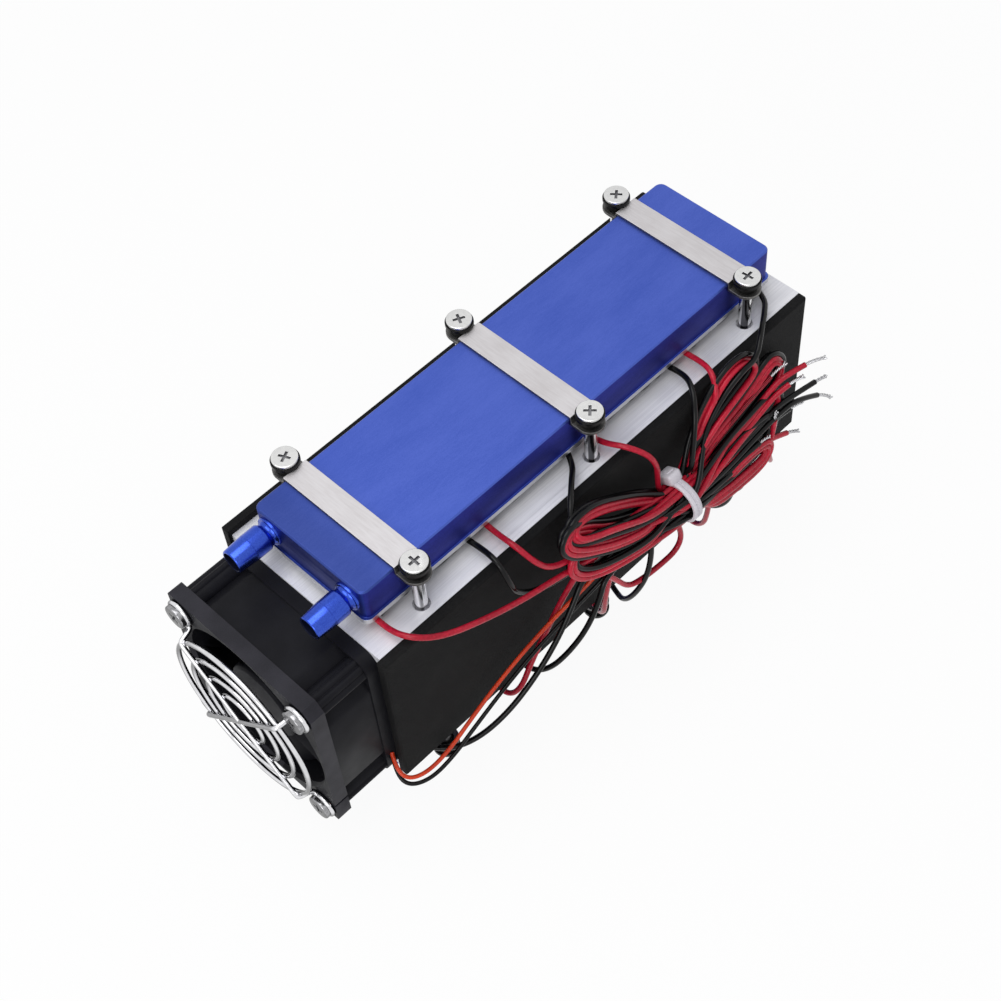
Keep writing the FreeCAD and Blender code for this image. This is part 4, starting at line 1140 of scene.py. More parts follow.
# Routes of the modules' leads from their exits to the hank. X counts from the heatsinks' front end, Y from their side
# face and Z, for each lead, from the outer face of the heatsink that its module lies on.
LEAD_ROUTES: dict[str, list[Point]] = {
    "upper_red_lead_1": [
        (7.0, 4.3, 2.8), (9.0, -3.6, 4.2), (16.5, -7.9, 0.8), (30.0, -9.1, -5.5), (45.0, -10.3, -10.5),
        (61.0, -11.1, -14.0),
    ],
    "upper_black_lead_1": [
        (43.4, 4.1, 2.9), (42.4, -3.7, 4.3), (42.6, -7.7, -2.4), (45.2, -7.3, -11.0), (53.5, -7.7, -18.0),
        (66.0, -9.4, -20.0),
    ],
    "upper_red_lead_2": [
        (49.8, 4.3, 2.8), (49.6, -3.7, 4.2), (52.0, -8.3, -1.6), (56.5, -9.5, -8.5), (64.5, -10.5, -11.5),
    ],
    "upper_black_lead_2": [
        (82.5, 5.3, 2.6), (76.5, 0.3, 4.4), (70.0, -5.3, 4.2), (66.2, -8.9, -1.6), (66.5, -10.1, -6.5),
    ],
    "upper_red_lead_3": [
        (93.4, 4.3, 2.6), (96.2, -2.7, 4.2), (100.4, -7.9, 0.6), (102.6, -9.3, -5.6), (103.4, -8.9, -12.4),
        (104.0, -8.7, -18.6),
    ],
    "upper_black_lead_3": [
        (129.2, 4.7, 2.7), (126.0, -2.5, 4.4), (121.5, -7.5, -0.4), (118.4, -9.9, -7.2), (116.2, -11.3, -13.6),
        (115.2, -11.9, -17.6),
    ],
    "upper_red_lead_4": [
        (136.2, 4.3, 2.7), (134.2, -3.3, 4.2), (131.0, -7.9, -1.6), (130.0, -5.7, -7.4), (126.5, -4.9, -13.4),
        (121.0, -5.4, -19.4),
    ],
    "upper_black_lead_4": [
        (169.0, 5.1, 2.4), (162.5, 0.3, 4.0), (155.2, -4.3, 4.4), (149.2, -7.9, 1.0), (141.5, -8.4, 2.0),
        (133.0, -7.8, -3.5), (124.5, -8.6, -12.0),
    ],
    "lower_black_lead_1": [
        (9.0, 4.1, -3.0), (14.0, -3.7, -4.2), (21.5, -9.9, 0.2), (31.0, -13.7, 7.7), (42.0, -15.1, 16.2),
        (53.0, -14.7, 24.7), (62.0, -13.1, 33.2), (67.5, -12.1, 40.2),
    ],
    "lower_red_lead_1": [
        (41.4, 4.1, -3.0), (39.8, -3.7, -4.0), (41.8, -8.5, 1.8), (48.5, -7.3, 9.6), (57.5, -6.5, 18.7),
        (65.0, -6.9, 28.7), (70.0, -8.7, 37.7),
    ],
    "lower_black_lead_2": [
        (50.8, 4.1, -3.0), (51.6, -3.7, -4.2), (54.0, -9.5, 0.8), (59.0, -13.1, 8.6), (64.5, -15.5, 17.7),
        (70.0, -15.7, 27.2), (74.5, -14.5, 36.2),
    ],
    "lower_red_lead_2": [
        (84.2, 4.1, -3.1), (81.8, -3.5, -4.2), (79.5, -8.3, 1.8), (78.6, -9.7, 10.7), (78.8, -10.7, 19.7),
        (80.2, -11.5, 28.2), (81.5, -11.9, 35.7),
    ],
    "lower_black_lead_3": [
        (93.0, 4.1, -3.0), (90.6, -3.7, -4.4), (87.6, -9.5, 0.8), (87.6, -13.9, 8.7), (90.0, -16.5, 17.7),
        (92.0, -16.7, 26.7), (93.0, -15.7, 34.2),
    ],
    "lower_red_lead_3": [
        (128.6, 4.1, -3.0), (127.4, -3.7, -4.1), (126.2, -9.1, 1.6), (125.4, -11.1, 10.7), (124.8, -12.1, 20.2),
        (124.2, -12.5, 27.7), (124.0, -12.5, 33.7),
    ],
    "lower_black_lead_4": [
        (135.2, 4.1, -3.0), (136.0, -3.7, -4.1), (137.4, -9.3, 1.7), (138.2, -11.1, 10.7), (138.6, -11.7, 20.2),
        (138.8, -11.7, 28.7), (138.8, -11.7, 36.2),
    ],
    "lower_red_lead_4": [
        (169.6, 4.1, -3.0), (165.8, -3.5, -4.1), (160.5, -8.9, 1.2), (156.6, -10.7, 9.7), (154.0, -11.1, 18.7),
        (152.6, -11.1, 27.7), (151.8, -10.9, 38.2),
    ],
}

# Routes of the fan's leads from the slot in its flange, with Z from the upper heatsink's outer face
FAN_LEAD_ROUTES: dict[str, list[Point]] = {
    "fan_red_lead": [
        (-2.2, 0.9, -50.5), (-4.5, -3.1, -52.5), (-3.6, -7.1, -55.2), (2.5, -8.9, -56.4), (11.5, -8.7, -55.6),
        (22.0, -7.5, -52.6), (34.0, -7.1, -47.5), (48.0, -7.5, -41.5), (60.0, -8.9, -36.0), (69.0, -11.1, -30.0),
        (75.0, -12.5, -25.5),
    ],
    "fan_black_lead": [
        (-2.2, 0.9, -53.0), (-4.9, -3.3, -55.0), (-4.2, -7.7, -57.6), (2.3, -10.3, -58.6), (11.8, -10.1, -57.8),
        (22.0, -9.1, -55.0), (35.0, -8.7, -49.8), (49.0, -9.1, -43.8), (61.0, -10.5, -38.2), (70.5, -12.5, -32.0),
        (77.5, -14.1, -27.0),
    ],
}


@dataclass(frozen=True)
class Fold:
    """One fold of the tied leads: the middle line from the tie out to its bend and back.

    Attributes:
        line: the middle line's points, counted as the leads' routes are.
        right: True if it lies on the open end's side of the tie.
        cells: how far out from the bend and how far towards the side board each lead in it lies.
        wander: how far a lead strays from its place.
        wander_in: how far it strays towards the side board.
    """

    line: tuple[Point, ...]
    right: bool
    cells: tuple[Span, ...]
    wander: float = 0.3
    wander_in: float = 0.1

    def lead(self, cell: int, chance: random.Random) -> list[Vector]:
        """The points of one lead in the fold.

        Args:
            cell: which place it takes.
            chance: where its small unevenness comes from.

        Returns:
            The points from the tie and back.
        """
        out, inward = self.cells[cell]
        far, near = self.wander, self.wander_in
        points = [from_side(*p) for p in self.line]
        middle = sum(points, Vector()) / len(points)
        normals = [(after - before).cross(Vector((0, 1, 0))).normalized()
                   for before, after in zip(points[:1] + points[:-1], points[1:] + points[-1:])]
        if sum(n.dot(p - middle) for n, p in zip(normals, points)) < 0:
            out = -out
        return [point + normal * out + Vector((0, inward, 0))
                + Vector((chance.uniform(-far, far), chance.uniform(-far, near), chance.uniform(-far, far)))
                for point, normal in zip(points, normals)]


FOLDS: dict[str, Fold] = {
    "right_top": Fold((
        (121.0, -6.3, -11.0), (129.5, -5.4, -1.0), (138.0, -5.1, 4.5), (146.5, -4.9, 3.0), (152.0, -5.3, -3.0),
        (150.0, -6.4, -7.0), (141.5, -7.3, -9.0), (131.5, -8.3, -11.5), (120.5, -9.3, -16.5),
    ), True, ((0.6, 0.0), (-1.3, 0.2), (-2.0, -1.5), (-2.6, 0.3))),
    "right_middle": Fold((
        (129.0, -8.9, -16.5), (142.5, -7.7, -15.5), (152.5, -6.9, -11.0), (159.0, -6.7, -8.0), (163.5, -7.3, -13.5),
        (160.5, -8.5, -17.5), (151.5, -9.5, -21.0), (137.5, -10.7, -23.0), (123.5, -11.7, -24.0),
    ), True, ((0.4, 0.0), (-1.2, -0.8), (2.1, 0.6), (1.0, 1.8))),
    "right_deep": Fold((
        (131.0, -11.6, -21.5), (143.5, -10.6, -20.8), (152.5, -10.1, -19.6), (157.8, -10.4, -21.0),
        (158.0, -11.0, -25.6), (153.0, -11.8, -28.0), (140.5, -12.6, -27.0), (123.5, -14.1, -27.5),
    ), True, ((0.0, 0.0), (1.8, 0.0))),
    "right_fill": Fold((
        (129.0, -12.8, -26.0), (140.0, -12.4, -25.0), (150.0, -12.2, -25.6), (155.0, -12.4, -28.5),
        (154.5, -12.8, -33.5), (148.5, -13.6, -35.8), (138.0, -14.8, -34.5), (123.5, -16.0, -32.0),
    ), True, ((0.0, 0.0), (-1.8, 0.2), (1.7, 0.4))),
    "right_low": Fold((
        (127.0, -15.6, -32.0), (136.5, -15.1, -30.6), (146.0, -14.6, -31.8), (150.8, -14.9, -34.5),
        (150.2, -15.6, -39.6), (144.5, -16.2, -41.3), (132.0, -17.1, -39.0), (118.5, -17.9, -35.0),
    ), True, ((0.0, 0.0), (-1.7, 0.0), (-2.8, 0.8))),
    "right_back": Fold((
        (123.0, -7.2, -19.0), (133.0, -5.6, -14.5), (143.5, -4.9, -10.0), (149.8, -4.8, -10.8), (151.0, -4.8, -15.6),
        (145.5, -4.9, -19.2), (135.0, -5.4, -21.5), (123.0, -6.8, -25.0),
    ), True, ((0.0, 0.0), (-1.4, 0.0))),
    "left_top": Fold((
        (96.5, -9.1, -14.0), (86.0, -8.6, -6.0), (78.0, -8.2, -0.8), (71.5, -8.4, 1.8), (65.5, -9.2, 1.6),
        (64.2, -10.8, -2.6), (69.0, -12.3, -6.0), (79.5, -13.6, -10.5), (91.0, -14.6, -17.0),
    ), False, ((0.9, 0.0), (-0.9, 0.0), (-2.2, -0.9), (0.0, 1.8))),
    "left_middle": Fold((
        (93.5, -15.1, -23.0), (81.0, -14.3, -18.5), (70.5, -13.0, -12.0), (63.5, -12.0, -6.8), (60.9, -11.0, -2.0),
        (63.8, -10.0, 1.4), (69.8, -9.4, -1.8), (80.5, -9.6, -12.5), (93.0, -10.6, -20.0),
    ), False, ((0.0, 0.0), (1.5, 0.2), (-1.7, -0.3), (0.4, 1.8), (-1.0, 1.8), (-2.0, 0.8))),
    "left_low": Fold((
        (93.5, -16.6, -26.5), (81.5, -15.6, -24.5), (71.5, -14.4, -21.8), (65.0, -13.2, -17.6), (62.6, -12.2, -12.6),
        (65.4, -11.2, -8.8), (71.8, -11.0, -12.0), (83.0, -11.6, -23.0), (96.5, -12.6, -28.0),
    ), False, ((0.0, 0.0), (1.6, 0.0), (-1.7, 0.0), (0.6, 1.8), (-0.9, 1.8))),
    "left_loose": Fold((
        (107.5, -15.6, -40.0), (104.5, -15.8, -45.0), (97.5, -15.6, -45.5), (90.0, -15.1, -45.2), (84.0, -14.1, -44.0),
        (79.5, -13.0, -36.0), (74.5, -12.2, -28.0), (68.5, -11.4, -22.0), (64.6, -10.8, -17.0),
        (66.8, -10.4, -12.2), (73.5, -11.0, -14.5), (84.0, -11.6, -22.5), (96.5, -12.6, -27.0),
    ), False, ((0.0, 0.0),)),
}

# Ends of the leads after their last pass through the tie, counted as the upper leads' routes are
ENDS: dict[str, tuple[Point, ...]] = {
    "red_high": ((128.5, -11.6, -24.0), (142.5, -10.6, -21.5), (151.5, -10.1, -18.0), (157.0, -10.6, -15.0),
                 (162.0, -12.1, -13.5), (167.0, -13.6, -13.0)),
    "red_under": ((127.5, -12.4, -25.5), (141.0, -11.8, -23.5), (150.5, -11.6, -20.5), (155.5, -12.0, -18.0),
                  (160.0, -13.2, -16.5)),
    "black_upper": ((130.0, -13.6, -26.5), (144.5, -12.6, -26.5), (155.5, -12.1, -24.5), (164.5, -12.6, -26.0),
                    (173.5, -13.6, -27.0)),
    "black_lower": ((130.5, -14.6, -28.5), (145.0, -13.6, -27.5), (156.5, -13.1, -27.5), (165.0, -13.4, -28.0),
                    (175.0, -14.1, -34.5)),
    "black_short": ((129.0, -13.8, -29.5), (142.5, -13.0, -29.0), (153.5, -12.6, -28.8), (162.0, -12.9, -30.5)),
    "black_low": ((128.0, -15.0, -31.0), (138.5, -14.6, -30.0), (145.0, -14.6, -30.5)),
    "red_low": ((126.5, -15.1, -32.0), (136.5, -14.6, -30.0), (146.0, -14.1, -32.5), (155.0, -14.1, -37.0),
                (159.5, -14.6, -39.0)),
    "red_rising": ((130.0, -16.6, -39.5), (142.0, -15.6, -42.0), (149.0, -14.6, -40.0), (152.5, -13.9, -36.0),
                   (153.5, -13.6, -28.0)),
    "hidden_right": ((122.0, -10.5, -21.0), (133.0, -9.5, -18.0), (145.0, -8.8, -15.0), (156.0, -8.6, -13.0)),
    "hidden_left": ((98.0, -11.0, -21.0), (88.0, -10.0, -18.0), (78.0, -9.4, -14.5), (70.0, -9.4, -12.0)),
}


@dataclass(frozen=True)
class Way:
    """How a lead runs through the hank.

    Attributes:
        folds: the folds that it takes in turn, with its place in each.
        end: how it ends.
        length: its whole length in millimetres; not used.
    """

    folds: tuple[tuple[str, int], ...]
    end: str
    length: float = 350.0


LEAD_WAYS: dict[str, Way] = {
    "upper_black_lead_1": Way((("right_top", 0), ("left_top", 0)), "black_upper"),
    "upper_red_lead_2": Way((("right_middle", 0), ("left_top", 1)), "red_high"),
    "upper_black_lead_2": Way((("right_middle", 2), ("left_middle", 1)), "black_lower", 370.0),
    "upper_red_lead_3": Way((("right_top", 1), ("left_top", 2)), "red_under", 300.0),
    "upper_red_lead_1": Way((("right_low", 0), ("left_low", 0)), "hidden_right"),
    "lower_black_lead_1": Way((("right_deep", 1), ("left_low", 2)), "hidden_right", 370.0),
    "lower_red_lead_1": Way((("right_top", 2), ("left_middle", 0)), "red_low"),
    "lower_black_lead_2": Way((("right_fill", 0), ("left_middle", 4)), "black_short"),
    "lower_red_lead_2": Way((("right_low", 1), ("left_loose", 0)), "red_rising"),
    "lower_black_lead_3": Way((("right_fill", 1), ("left_low", 3)), "black_low", 325.0),
    "upper_black_lead_3": Way((("left_top", 3), ("right_top", 3)), "hidden_left", 300.0),
    "upper_red_lead_4": Way((("left_middle", 2), ("right_middle", 1)), "hidden_left", 330.0),
    "upper_black_lead_4": Way((("left_middle", 3), ("right_middle", 3)), "hidden_left", 355.0),
    "lower_red_lead_3": Way((("left_low", 1), ("right_low", 2)), "hidden_left", 310.0),
    "lower_black_lead_4": Way((("left_low", 4), ("right_fill", 2)), "hidden_left", 330.0),
    "lower_red_lead_4": Way((("left_middle", 5), ("right_deep", 0)), "hidden_left"),
    "fan_red_lead": Way((("right_back", 0),), "hidden_left", 265.0),
    "fan_black_lead": Way((("right_back", 1),), "hidden_left", 265.0),
}


@dataclass
class TieSection:
    """The places where leads pass the tie, side by side in its ring.

    Attributes:
        centre: the ring's centre.
        spacing: the distance between neighbours.
        count: how many there are.
        rows: how many rows lie on each side of the middle one.
        reach: how far from the centre a place may be wished for.
        free: the places that no lead has taken, nearest the centre first.
    """

    centre: Vector
    spacing: float = 1.68
    count: int = 54
    rows: int = 6
    reach: float = 5.0
    free: list[Vector] = field(default_factory=list)

    def __post_init__(self) -> None:
        """Lays out the places in rows, each half a place out of step with the next."""
        span = range(-self.rows, self.rows + 1)
        places = [Vector((0, (column + (row % 2) / 2) * self.spacing, row * self.spacing * math.sqrt(0.75)))
                  for row in span for column in span]
        places.sort(key=lambda place: (round(place.length, 4), place.y, place.z))
        self.free = places[:self.count]

    def take(self, wish: Vector) -> Vector:
        """The free place nearest to a point, which is then taken.

        Args:
            wish: a point in the row frame.

        Returns:
            The place's offset from the ring's centre.
        """
        towards = wish - self.centre
        towards.x = 0
        if towards.length > self.reach:
            towards = towards.normalized() * self.reach
        best = min(self.free, key=lambda p: (p - towards).length)
        self.free.remove(best)
        return best


@dataclass
class Leads:
    """The modules' and the fan's leads, folded into one hank inside the tie.

    Attributes:
        lead_radius: a module lead's radius.
        fan_lead_radius: a fan lead's radius.
        exit_inset: how far a lead's exit is from its module's edge.
        module_side: a module's side.
        module_pitch: the distance between like edges of neighbouring modules.
        first_module: where the first one starts along the heatsink.
        module_middle: how high a module's middle is above the heatsink.
        exit_y: the Y of the exits.
        tie_entry: how far before and after the tie's middle a lead is in its place.
        nearer: how much nearer a fold's other end has to be to be entered there.
        lead_seed: the first lead's number for its unevenness.
        tip_seed: that for its stripped end.
        tip_length: a stripped end's usual length.
        strand: the radius of its strands.
        strands: how many there are.
        pace: the distance between their points.
        overlap: how far they start inside the sheath.
        twist: their turn along each millimetre, in radians.
        lay: how far they lie from their middle line.
        frayed: the length over which they spread at the end.
        section: the places inside the tie.
    """

    lead_radius: float = 0.9
    fan_lead_radius: float = 0.65
    exit_inset: float = 2.5
    module_side: float = 40.0
    module_pitch: float = 42.6
    first_module: float = 5.5
    module_middle: float = 1.9
    exit_y: float = -19.4
    tie_entry: float = 3.5
    nearer: float = 2.0
    lead_seed: int = 100
    tip_seed: int = 500
    tip_length: float = 8.0
    strand: float = 0.3
    strands: int = 3
    pace: float = 0.6
    overlap: float = 1.0
    twist: float = 1.5
    lay: float = 0.32
    frayed: float = 3.2
    section: TieSection = field(default_factory=lambda: TieSection(from_side(*TIE_CENTRE)))

    def lead_exit(self, name: str) -> Vector:
        """Where a module's lead leaves the seal round its legs.

        Args:
            name: the lead's node.

        Returns:
            The point.
        """
        half, colour, _, number = name.split("_")
        first = (half == "upper") == (colour == "red")
        x = self.first_module + (int(number) - 1) * self.module_pitch
        x += self.exit_inset if first else self.module_side - self.exit_inset
        return Half(half).place(from_datum(x, self.exit_y, self.module_middle))

    def start(self, name: str) -> list[Vector]:
        """A lead's exit and its route to the hank.

        Args:
            name: the lead's node.

        Returns:
            The points.
        """
        if name in FAN_LEAD_ROUTES:
            return [from_side(*p) for p in FAN_LEAD_ROUTES[name]]
        drop = 0 if name.startswith("upper") else 2 * SINK_HEIGHT
        return [self.lead_exit(name)] + [from_side(x, y, z - drop) for x, y, z in LEAD_ROUTES[name]]

    def through_tie(self, last: Vector, following: Vector, to_right: bool) -> list[Vector]:
        """The two points that take a lead through the tie.

        Args:
            last: the lead's last point before the tie.
            following: its next point after it.
            to_right: True if it runs towards the open end.

        Returns:
            The points.
        """
        offset = self.section.take((last + following) / 2)
        reach = self.tie_entry if to_right else -self.tie_entry
        return [self.section.centre + offset + Vector((x, 0, 0)) for x in (-reach, reach)]

    def path(self, name: str, number: int) -> list[Vector]:
        """All control points of a lead.

        Args:
            name: the lead's node.
            number: its number, from which its small unevenness follows.

        Returns:
            The points, in millimetres in the row frame.
        """
        chance = random.Random(self.lead_seed + number)
        way = LEAD_WAYS[name]
        points = self.start(name)
        to_right = FOLDS[way.folds[0][0]].right
        for fold_name, cell in way.folds:
            fold = FOLDS[fold_name]
            line = fold.lead(cell, chance)
            if (line[0] - points[-1]).length > (line[-1] - points[-1]).length + self.nearer:
                line.reverse()
            points += self.through_tie(points[-1], line[0], to_right) + line
            to_right = not to_right
        end = [from_side(*p) for p in ENDS[way.end]]
        return points + self.through_tie(points[-1], end[0], to_right) + end

    def tip(self, name: str, points: Sequence[Vector], chance: random.Random) -> bpy.types.Object:
        """The twisted, tinned strands at a lead's stripped end.

        Args:
            name: the lead's node.
            points: the lead's points.
            chance: where its bend comes from.

        Returns:
            The object.
        """
        curve = curve_data(name + "_tip", self.strand, 1, 3)
        run = (points[-1] - points[-2]).normalized()
        droop = Vector((chance.uniform(-0.02, 0.02), chance.uniform(-0.05, 0.0), chance.uniform(-0.10, -0.03)))
        across = run.cross(Vector((0, 0, 1))).normalized()
        raised = across.cross(run)
        length = self.tip_length * chance.uniform(0.75, 1.25)
        for strand in range(self.strands):
            line = []
            for i in range(int(length / self.pace)):
                along = i * self.pace - self.overlap
                turn = along * self.twist + strand * 2 * math.pi / self.strands
                apart = self.lay + max(0.0, along - length + self.frayed) * 0.22 * chance.uniform(0.6, 1.2)
                line.append(points[-1] + run * along + droop * max(along, 0.0) ** 2 * 0.35
                            + (across * math.cos(turn) + raised * math.sin(turn)) * apart)
            add_line(curve, line)
        return Piece(name + "_tip", CHASSIS, (), (TINNED,)).show(curve)

    def build(self) -> None:
        """Lays and dresses all the leads."""
        for number, name in enumerate(LEAD_WAYS):
            from_fan = name in FAN_LEAD_ROUTES
            radius = self.fan_lead_radius if from_fan else self.lead_radius
            points = self.path(name, number)
            sheath = Sheath.RED if "red" in name else Sheath.BLACK
            finish = BLACK if sheath is Sheath.BLACK else FAN_RED if from_fan else RED
            curve = curve_data(name + "_wire", radius, 4, 7)
            add_line(curve, points)
            wire = Piece(name + "_wire", CHASSIS, (name, "wire_hank"), (finish,)).show(curve)
            tip = self.tip(name, points, random.Random(self.tip_seed + number))
            points[0] * MM
            2 * radius * MM


@dataclass(frozen=True)
class CableTie:
    """The nylon tie round the leads: a ribbed band, its ratchet head and the cut tail.

    Attributes:
        centre: the ring's centre, counted as the leads' routes are.
        inner: the band's inner radius.
        thickness: its thickness.
        width: its width.
        lean: how far the head leans over, in degrees.
        head: the head's lengths.
        tail: the cut tail's length.
        steps: how many sides the band is round with.
        rib: how far its ribs stand out of their channel.
        lip: the width of its smooth edges.
        channel: the depth of the channel between them.
        blunt: how much its outer corners are cut off.
    """

    centre: Point = TIE_CENTRE
    inner: float = 6.6
    thickness: float = 1.2
    width: float = 3.4
    lean: float = -28.0
    head: Point = (5.2, 5.6, 4.0)
    tail: float = 4.0
    steps: int = 72
    rib: float = 0.16
    lip: float = 1.2
    channel: float = 0.2
    blunt: float = 0.3

    def band(self, shape: bmesh.types.BMesh) -> None:
        """Adds the band, ribbed on the outside.

        Args:
            shape: where it is added.
        """
        half, outer, floor = self.width / 2, self.inner + self.thickness, self.inner + self.thickness - self.channel
        foot, inside = self.lip + 0.15, self.inner + 0.2
        outline = [(-half, inside), (-half + 0.2, self.inner), (half - 0.2, self.inner), (half, inside),
                   (half, outer - self.blunt), (half - self.blunt, outer), (half - self.lip, outer),
                   (half - foot, floor), (foot - half, floor), (self.lip - half, outer),
                   (self.blunt - half, outer), (-half, outer - self.blunt)]
        rim = [shape.verts.new((x, 0, r)) for x, r in outline]
        edges = [shape.edges.new(pair) for pair in zip(rim, rim[1:] + rim[:1])]
        bmesh.ops.spin(shape, geom=rim + edges, cent=(0, 0, 0), axis=(1, 0, 0), angle=2 * math.pi, steps=self.steps,
                       use_merge=True)
        channel = [f for f in shape.faces if abs(f.calc_center_median().x) < 0.1
                   and math.hypot(*f.calc_center_median().yz) > outer - 0.4]
        channel.sort(key=lambda f: math.atan2(*f.calc_center_median().yz))
        for face in channel[::2]:
            bmesh.ops.inset_individual(shape, faces=[face], thickness=0.08, depth=0.0)
            outward = Vector((0, *face.calc_center_median().yz)).normalized()
            bmesh.ops.translate(shape, vec=outward * self.rib, verts=face.verts)

    def block(self, shape: bmesh.types.BMesh, size: Point, centre: Point, round_by: float) -> None:
        """Adds a rounded block.

        Args:
            shape: where it is added.
            size: its lengths.
            centre: its centre.
            round_by: its edges' radius.
        """
        made = bmesh.ops.create_cube(shape, size=1.0)["verts"]
        bmesh.ops.scale(shape, vec=size, verts=made)
        bmesh.ops.translate(shape, vec=centre, verts=made)
        edges = list({e for v in made for e in v.link_edges})
        bmesh.ops.bevel(shape, geom=edges, offset=round_by, offset_type="OFFSET", affect="EDGES", segments=3,
                        profile=0.5, material=-1)

    def build(self) -> None:
        """Builds and shows the tie."""
        shape = bmesh.new()
        self.band(shape)
        outer = self.inner + self.thickness
        long, wide, high = self.head
        self.block(shape, self.head, (0, 0, self.inner + 0.2 + high / 2), 0.9)
        self.block(shape, (self.width - 1.0, self.tail, self.thickness), (0, self.tail / 2, outer + self.thickness / 2),
                   0.25)
        self.block(shape, (long * 0.55, wide * 0.4, 0.6), (0, 0, self.inner + 0.2 + high), 0.2)
        turn = Matrix.Rotation(math.radians(self.lean), 4, "X")
        bmesh.ops.transform(shape, matrix=Matrix.Translation(from_side(*self.centre)) @ turn, verts=shape.verts)
        Piece("cable_tie_moulded", CHASSIS, ("cable_tie",), (NYLON_WHITE,)).mesh(shape, 45.0)


@dataclass(frozen=True)
class Lamp:
    """A square soft light.

    Attributes:
        name: its name.
        place: where it stands, in metres.
        size: its side in metres.
        power: its power in watts.
        aim: what it points at, in metres.
    """

    name: str
    place: Point
    size: float
    power: float
    aim: Point = (0.0, 0.0, 0.05)

    def light(self) -> None:
        """Adds the lamp."""
        data = bpy.data.lights.new(self.name, "AREA")
        data.size = self.size
        data.energy = self.power
        lamp = bpy.data.objects.new(self.name, data)
        lamp.location = self.place
        lamp.rotation_euler = (Vector(self.aim) - Vector(self.place)).to_track_quat("-Z", "Y").to_euler()
        bpy.context.scene.collection.objects.link(lamp)


def seen(graph: Graph) -> Value:
    """Tells what the camera, metal and glass see from what only lights the object.

    Args:
        graph: the node tree that asks.

    Returns:
        1 for the rays that see, 0 for all others.
    """
    path = graph.node("ShaderNodeLightPath", {}, {})
    camera, glossy, through = (Value(graph, path.outputs[name]) for name in SEEN_RAYS)
    return camera + glossy + through


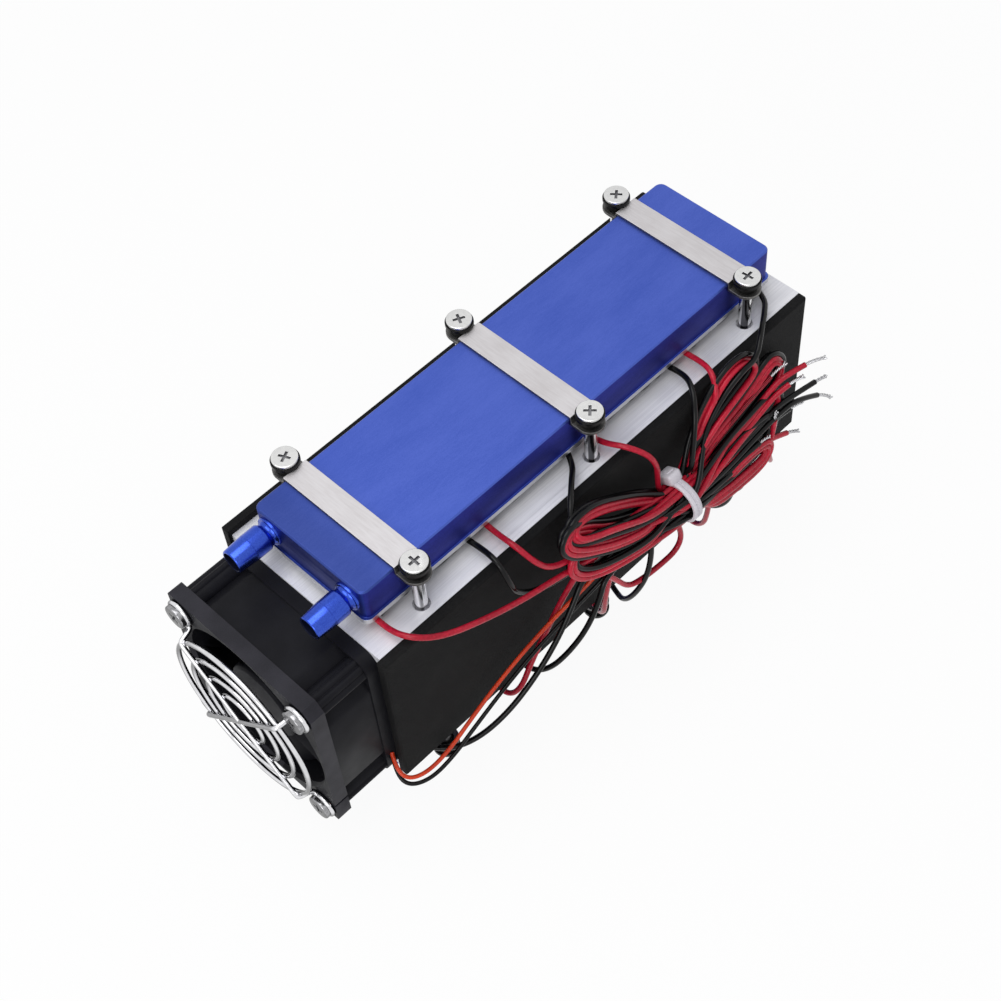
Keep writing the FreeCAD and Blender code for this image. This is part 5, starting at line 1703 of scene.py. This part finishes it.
@dataclass(frozen=True)
class Studio:
    """Camera, light, background and floor.

    Attributes:
        eye: the camera's place in millimetres.
        azimuth: the camera's heading in degrees, 0 along +Y.
        elevation: its height above the horizon in degrees.
        roll: its turn about its own axis in degrees.
        lens: its focal length in millimetres.
        sensor: its sensor's width in millimetres.
        lamps: the lamps.
        sky_light: the background's colour as it lights the object.
        sky_power: its strength.
        floor_colour: the floor's colour.
        floor_reach: half the floor's side in metres.
        floor_z: its height in metres, just under the object.
        floor_glow: how much of it is plain white to what sees it.
    """

    eye: Point = (-210.65, -245.3, 488.15)
    azimuth: float = -40.89
    elevation: float = 53.46
    roll: float = -5.82
    lens: float = 63.35
    sensor: float = 36.0
    lamps: tuple[Lamp, ...] = (Lamp("key", (-0.25, 0.05, 0.95), 0.7, 4.0), Lamp("side", (-0.9, -0.5, 0.5), 0.5, 3.0))
    sky_light: tuple[float, ...] = (0.96, 0.97, 1.0, 1.0)
    sky_power: float = 0.5
    floor_colour: Colour = (0.90, 0.90, 0.90)
    floor_reach: float = 4.0
    floor_z: float = -0.0002
    floor_glow: float = 0.93

    def turn(self) -> Matrix:
        """How the camera is turned.

        Returns:
            Its axes as the columns of a matrix.
        """
        az, el, roll = (math.radians(a) for a in (self.azimuth, self.elevation, self.roll))
        back = Vector((math.sin(az) * math.cos(el), -math.cos(az) * math.cos(el), math.sin(el)))
        right = Vector((0, 0, 1)).cross(back).normalized()
        up = back.cross(right)
        rolled_right = right * math.cos(roll) + up * math.sin(roll)
        rolled_up = up * math.cos(roll) - right * math.sin(roll)
        return Matrix((rolled_right, rolled_up, back)).transposed()

    def shoot(self) -> None:
        """Puts the camera in the scene."""
        data = bpy.data.cameras.new("camera")
        data.lens = self.lens
        data.sensor_width = self.sensor
        camera = bpy.data.objects.new("camera", data)
        camera.matrix_world = Matrix.Translation(Vector(self.eye) * MM) @ self.turn().to_4x4()
        bpy.context.scene.collection.objects.link(camera)
        bpy.context.scene.camera = camera
        bpy.context.scene.view_settings.view_transform = "Standard"

    def sky(self) -> None:
        """A white background for what the camera, metal and glass see, and a dimmer one for the light on the object."""
        world = bpy.data.worlds.new("world")
        bpy.context.scene.world = world
        world.use_nodes = True
        graph = Graph(world.node_tree)
        white = graph.value("ShaderNodeBackground", {}, {"Color": WHITE, "Strength": 1.0})
        dim = graph.value("ShaderNodeBackground", {}, {"Color": self.sky_light, "Strength": self.sky_power})
        mixed = graph.value("ShaderNodeMixShader", {}, {0: seen(graph), 1: dim, 2: white})
        graph.node("ShaderNodeOutputWorld", {}, {"Surface": mixed})

    def floor(self) -> None:
        """A plain pale floor that keeps the object's soft shadow."""
        shape = bmesh.new()
        bmesh.ops.create_grid(shape, x_segments=1, y_segments=1, size=self.floor_reach,
                              matrix=Matrix.Translation((0, 0, self.floor_z)))
        mesh = bpy.data.meshes.new("floor")
        shape.to_mesh(mesh)
        shape.free()
        surface = Surface("pale_floor")
        surface.constant(Base_Color=self.floor_colour, Roughness=0.9)
        glow = surface.value("ShaderNodeEmission", {}, {"Color": WHITE, "Strength": 1.0})
        shown = surface.value("ShaderNodeMixShader", {}, {
            0: seen(surface) * self.floor_glow, 1: surface.shader.outputs[0], 2: glow})
        surface.node("ShaderNodeOutputMaterial", {"is_active_output": True}, {"Surface": shown})
        mesh.materials.append(surface.material)
        floor = bpy.data.objects.new("floor", mesh)
        bpy.context.scene.collection.objects.link(floor)

    def set_up(self) -> None:
        """Builds the whole studio."""
        self.shoot()
        self.sky()
        self.floor()
        for lamp in self.lamps:
            lamp.light()


def main() -> None:
    """Builds the scene."""
    logging.basicConfig(level=logging.INFO, format="%(message)s")
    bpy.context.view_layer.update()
    Studio().set_up()
    for half in Half:
        ClampedHalf(half).build()
    for node in ("right_side_board", "left_side_board"):
        refined(node, CHASSIS)
    Fan().build()
    Leads().build()
    CableTie().build()


if __name__ == "__main__":
    main()
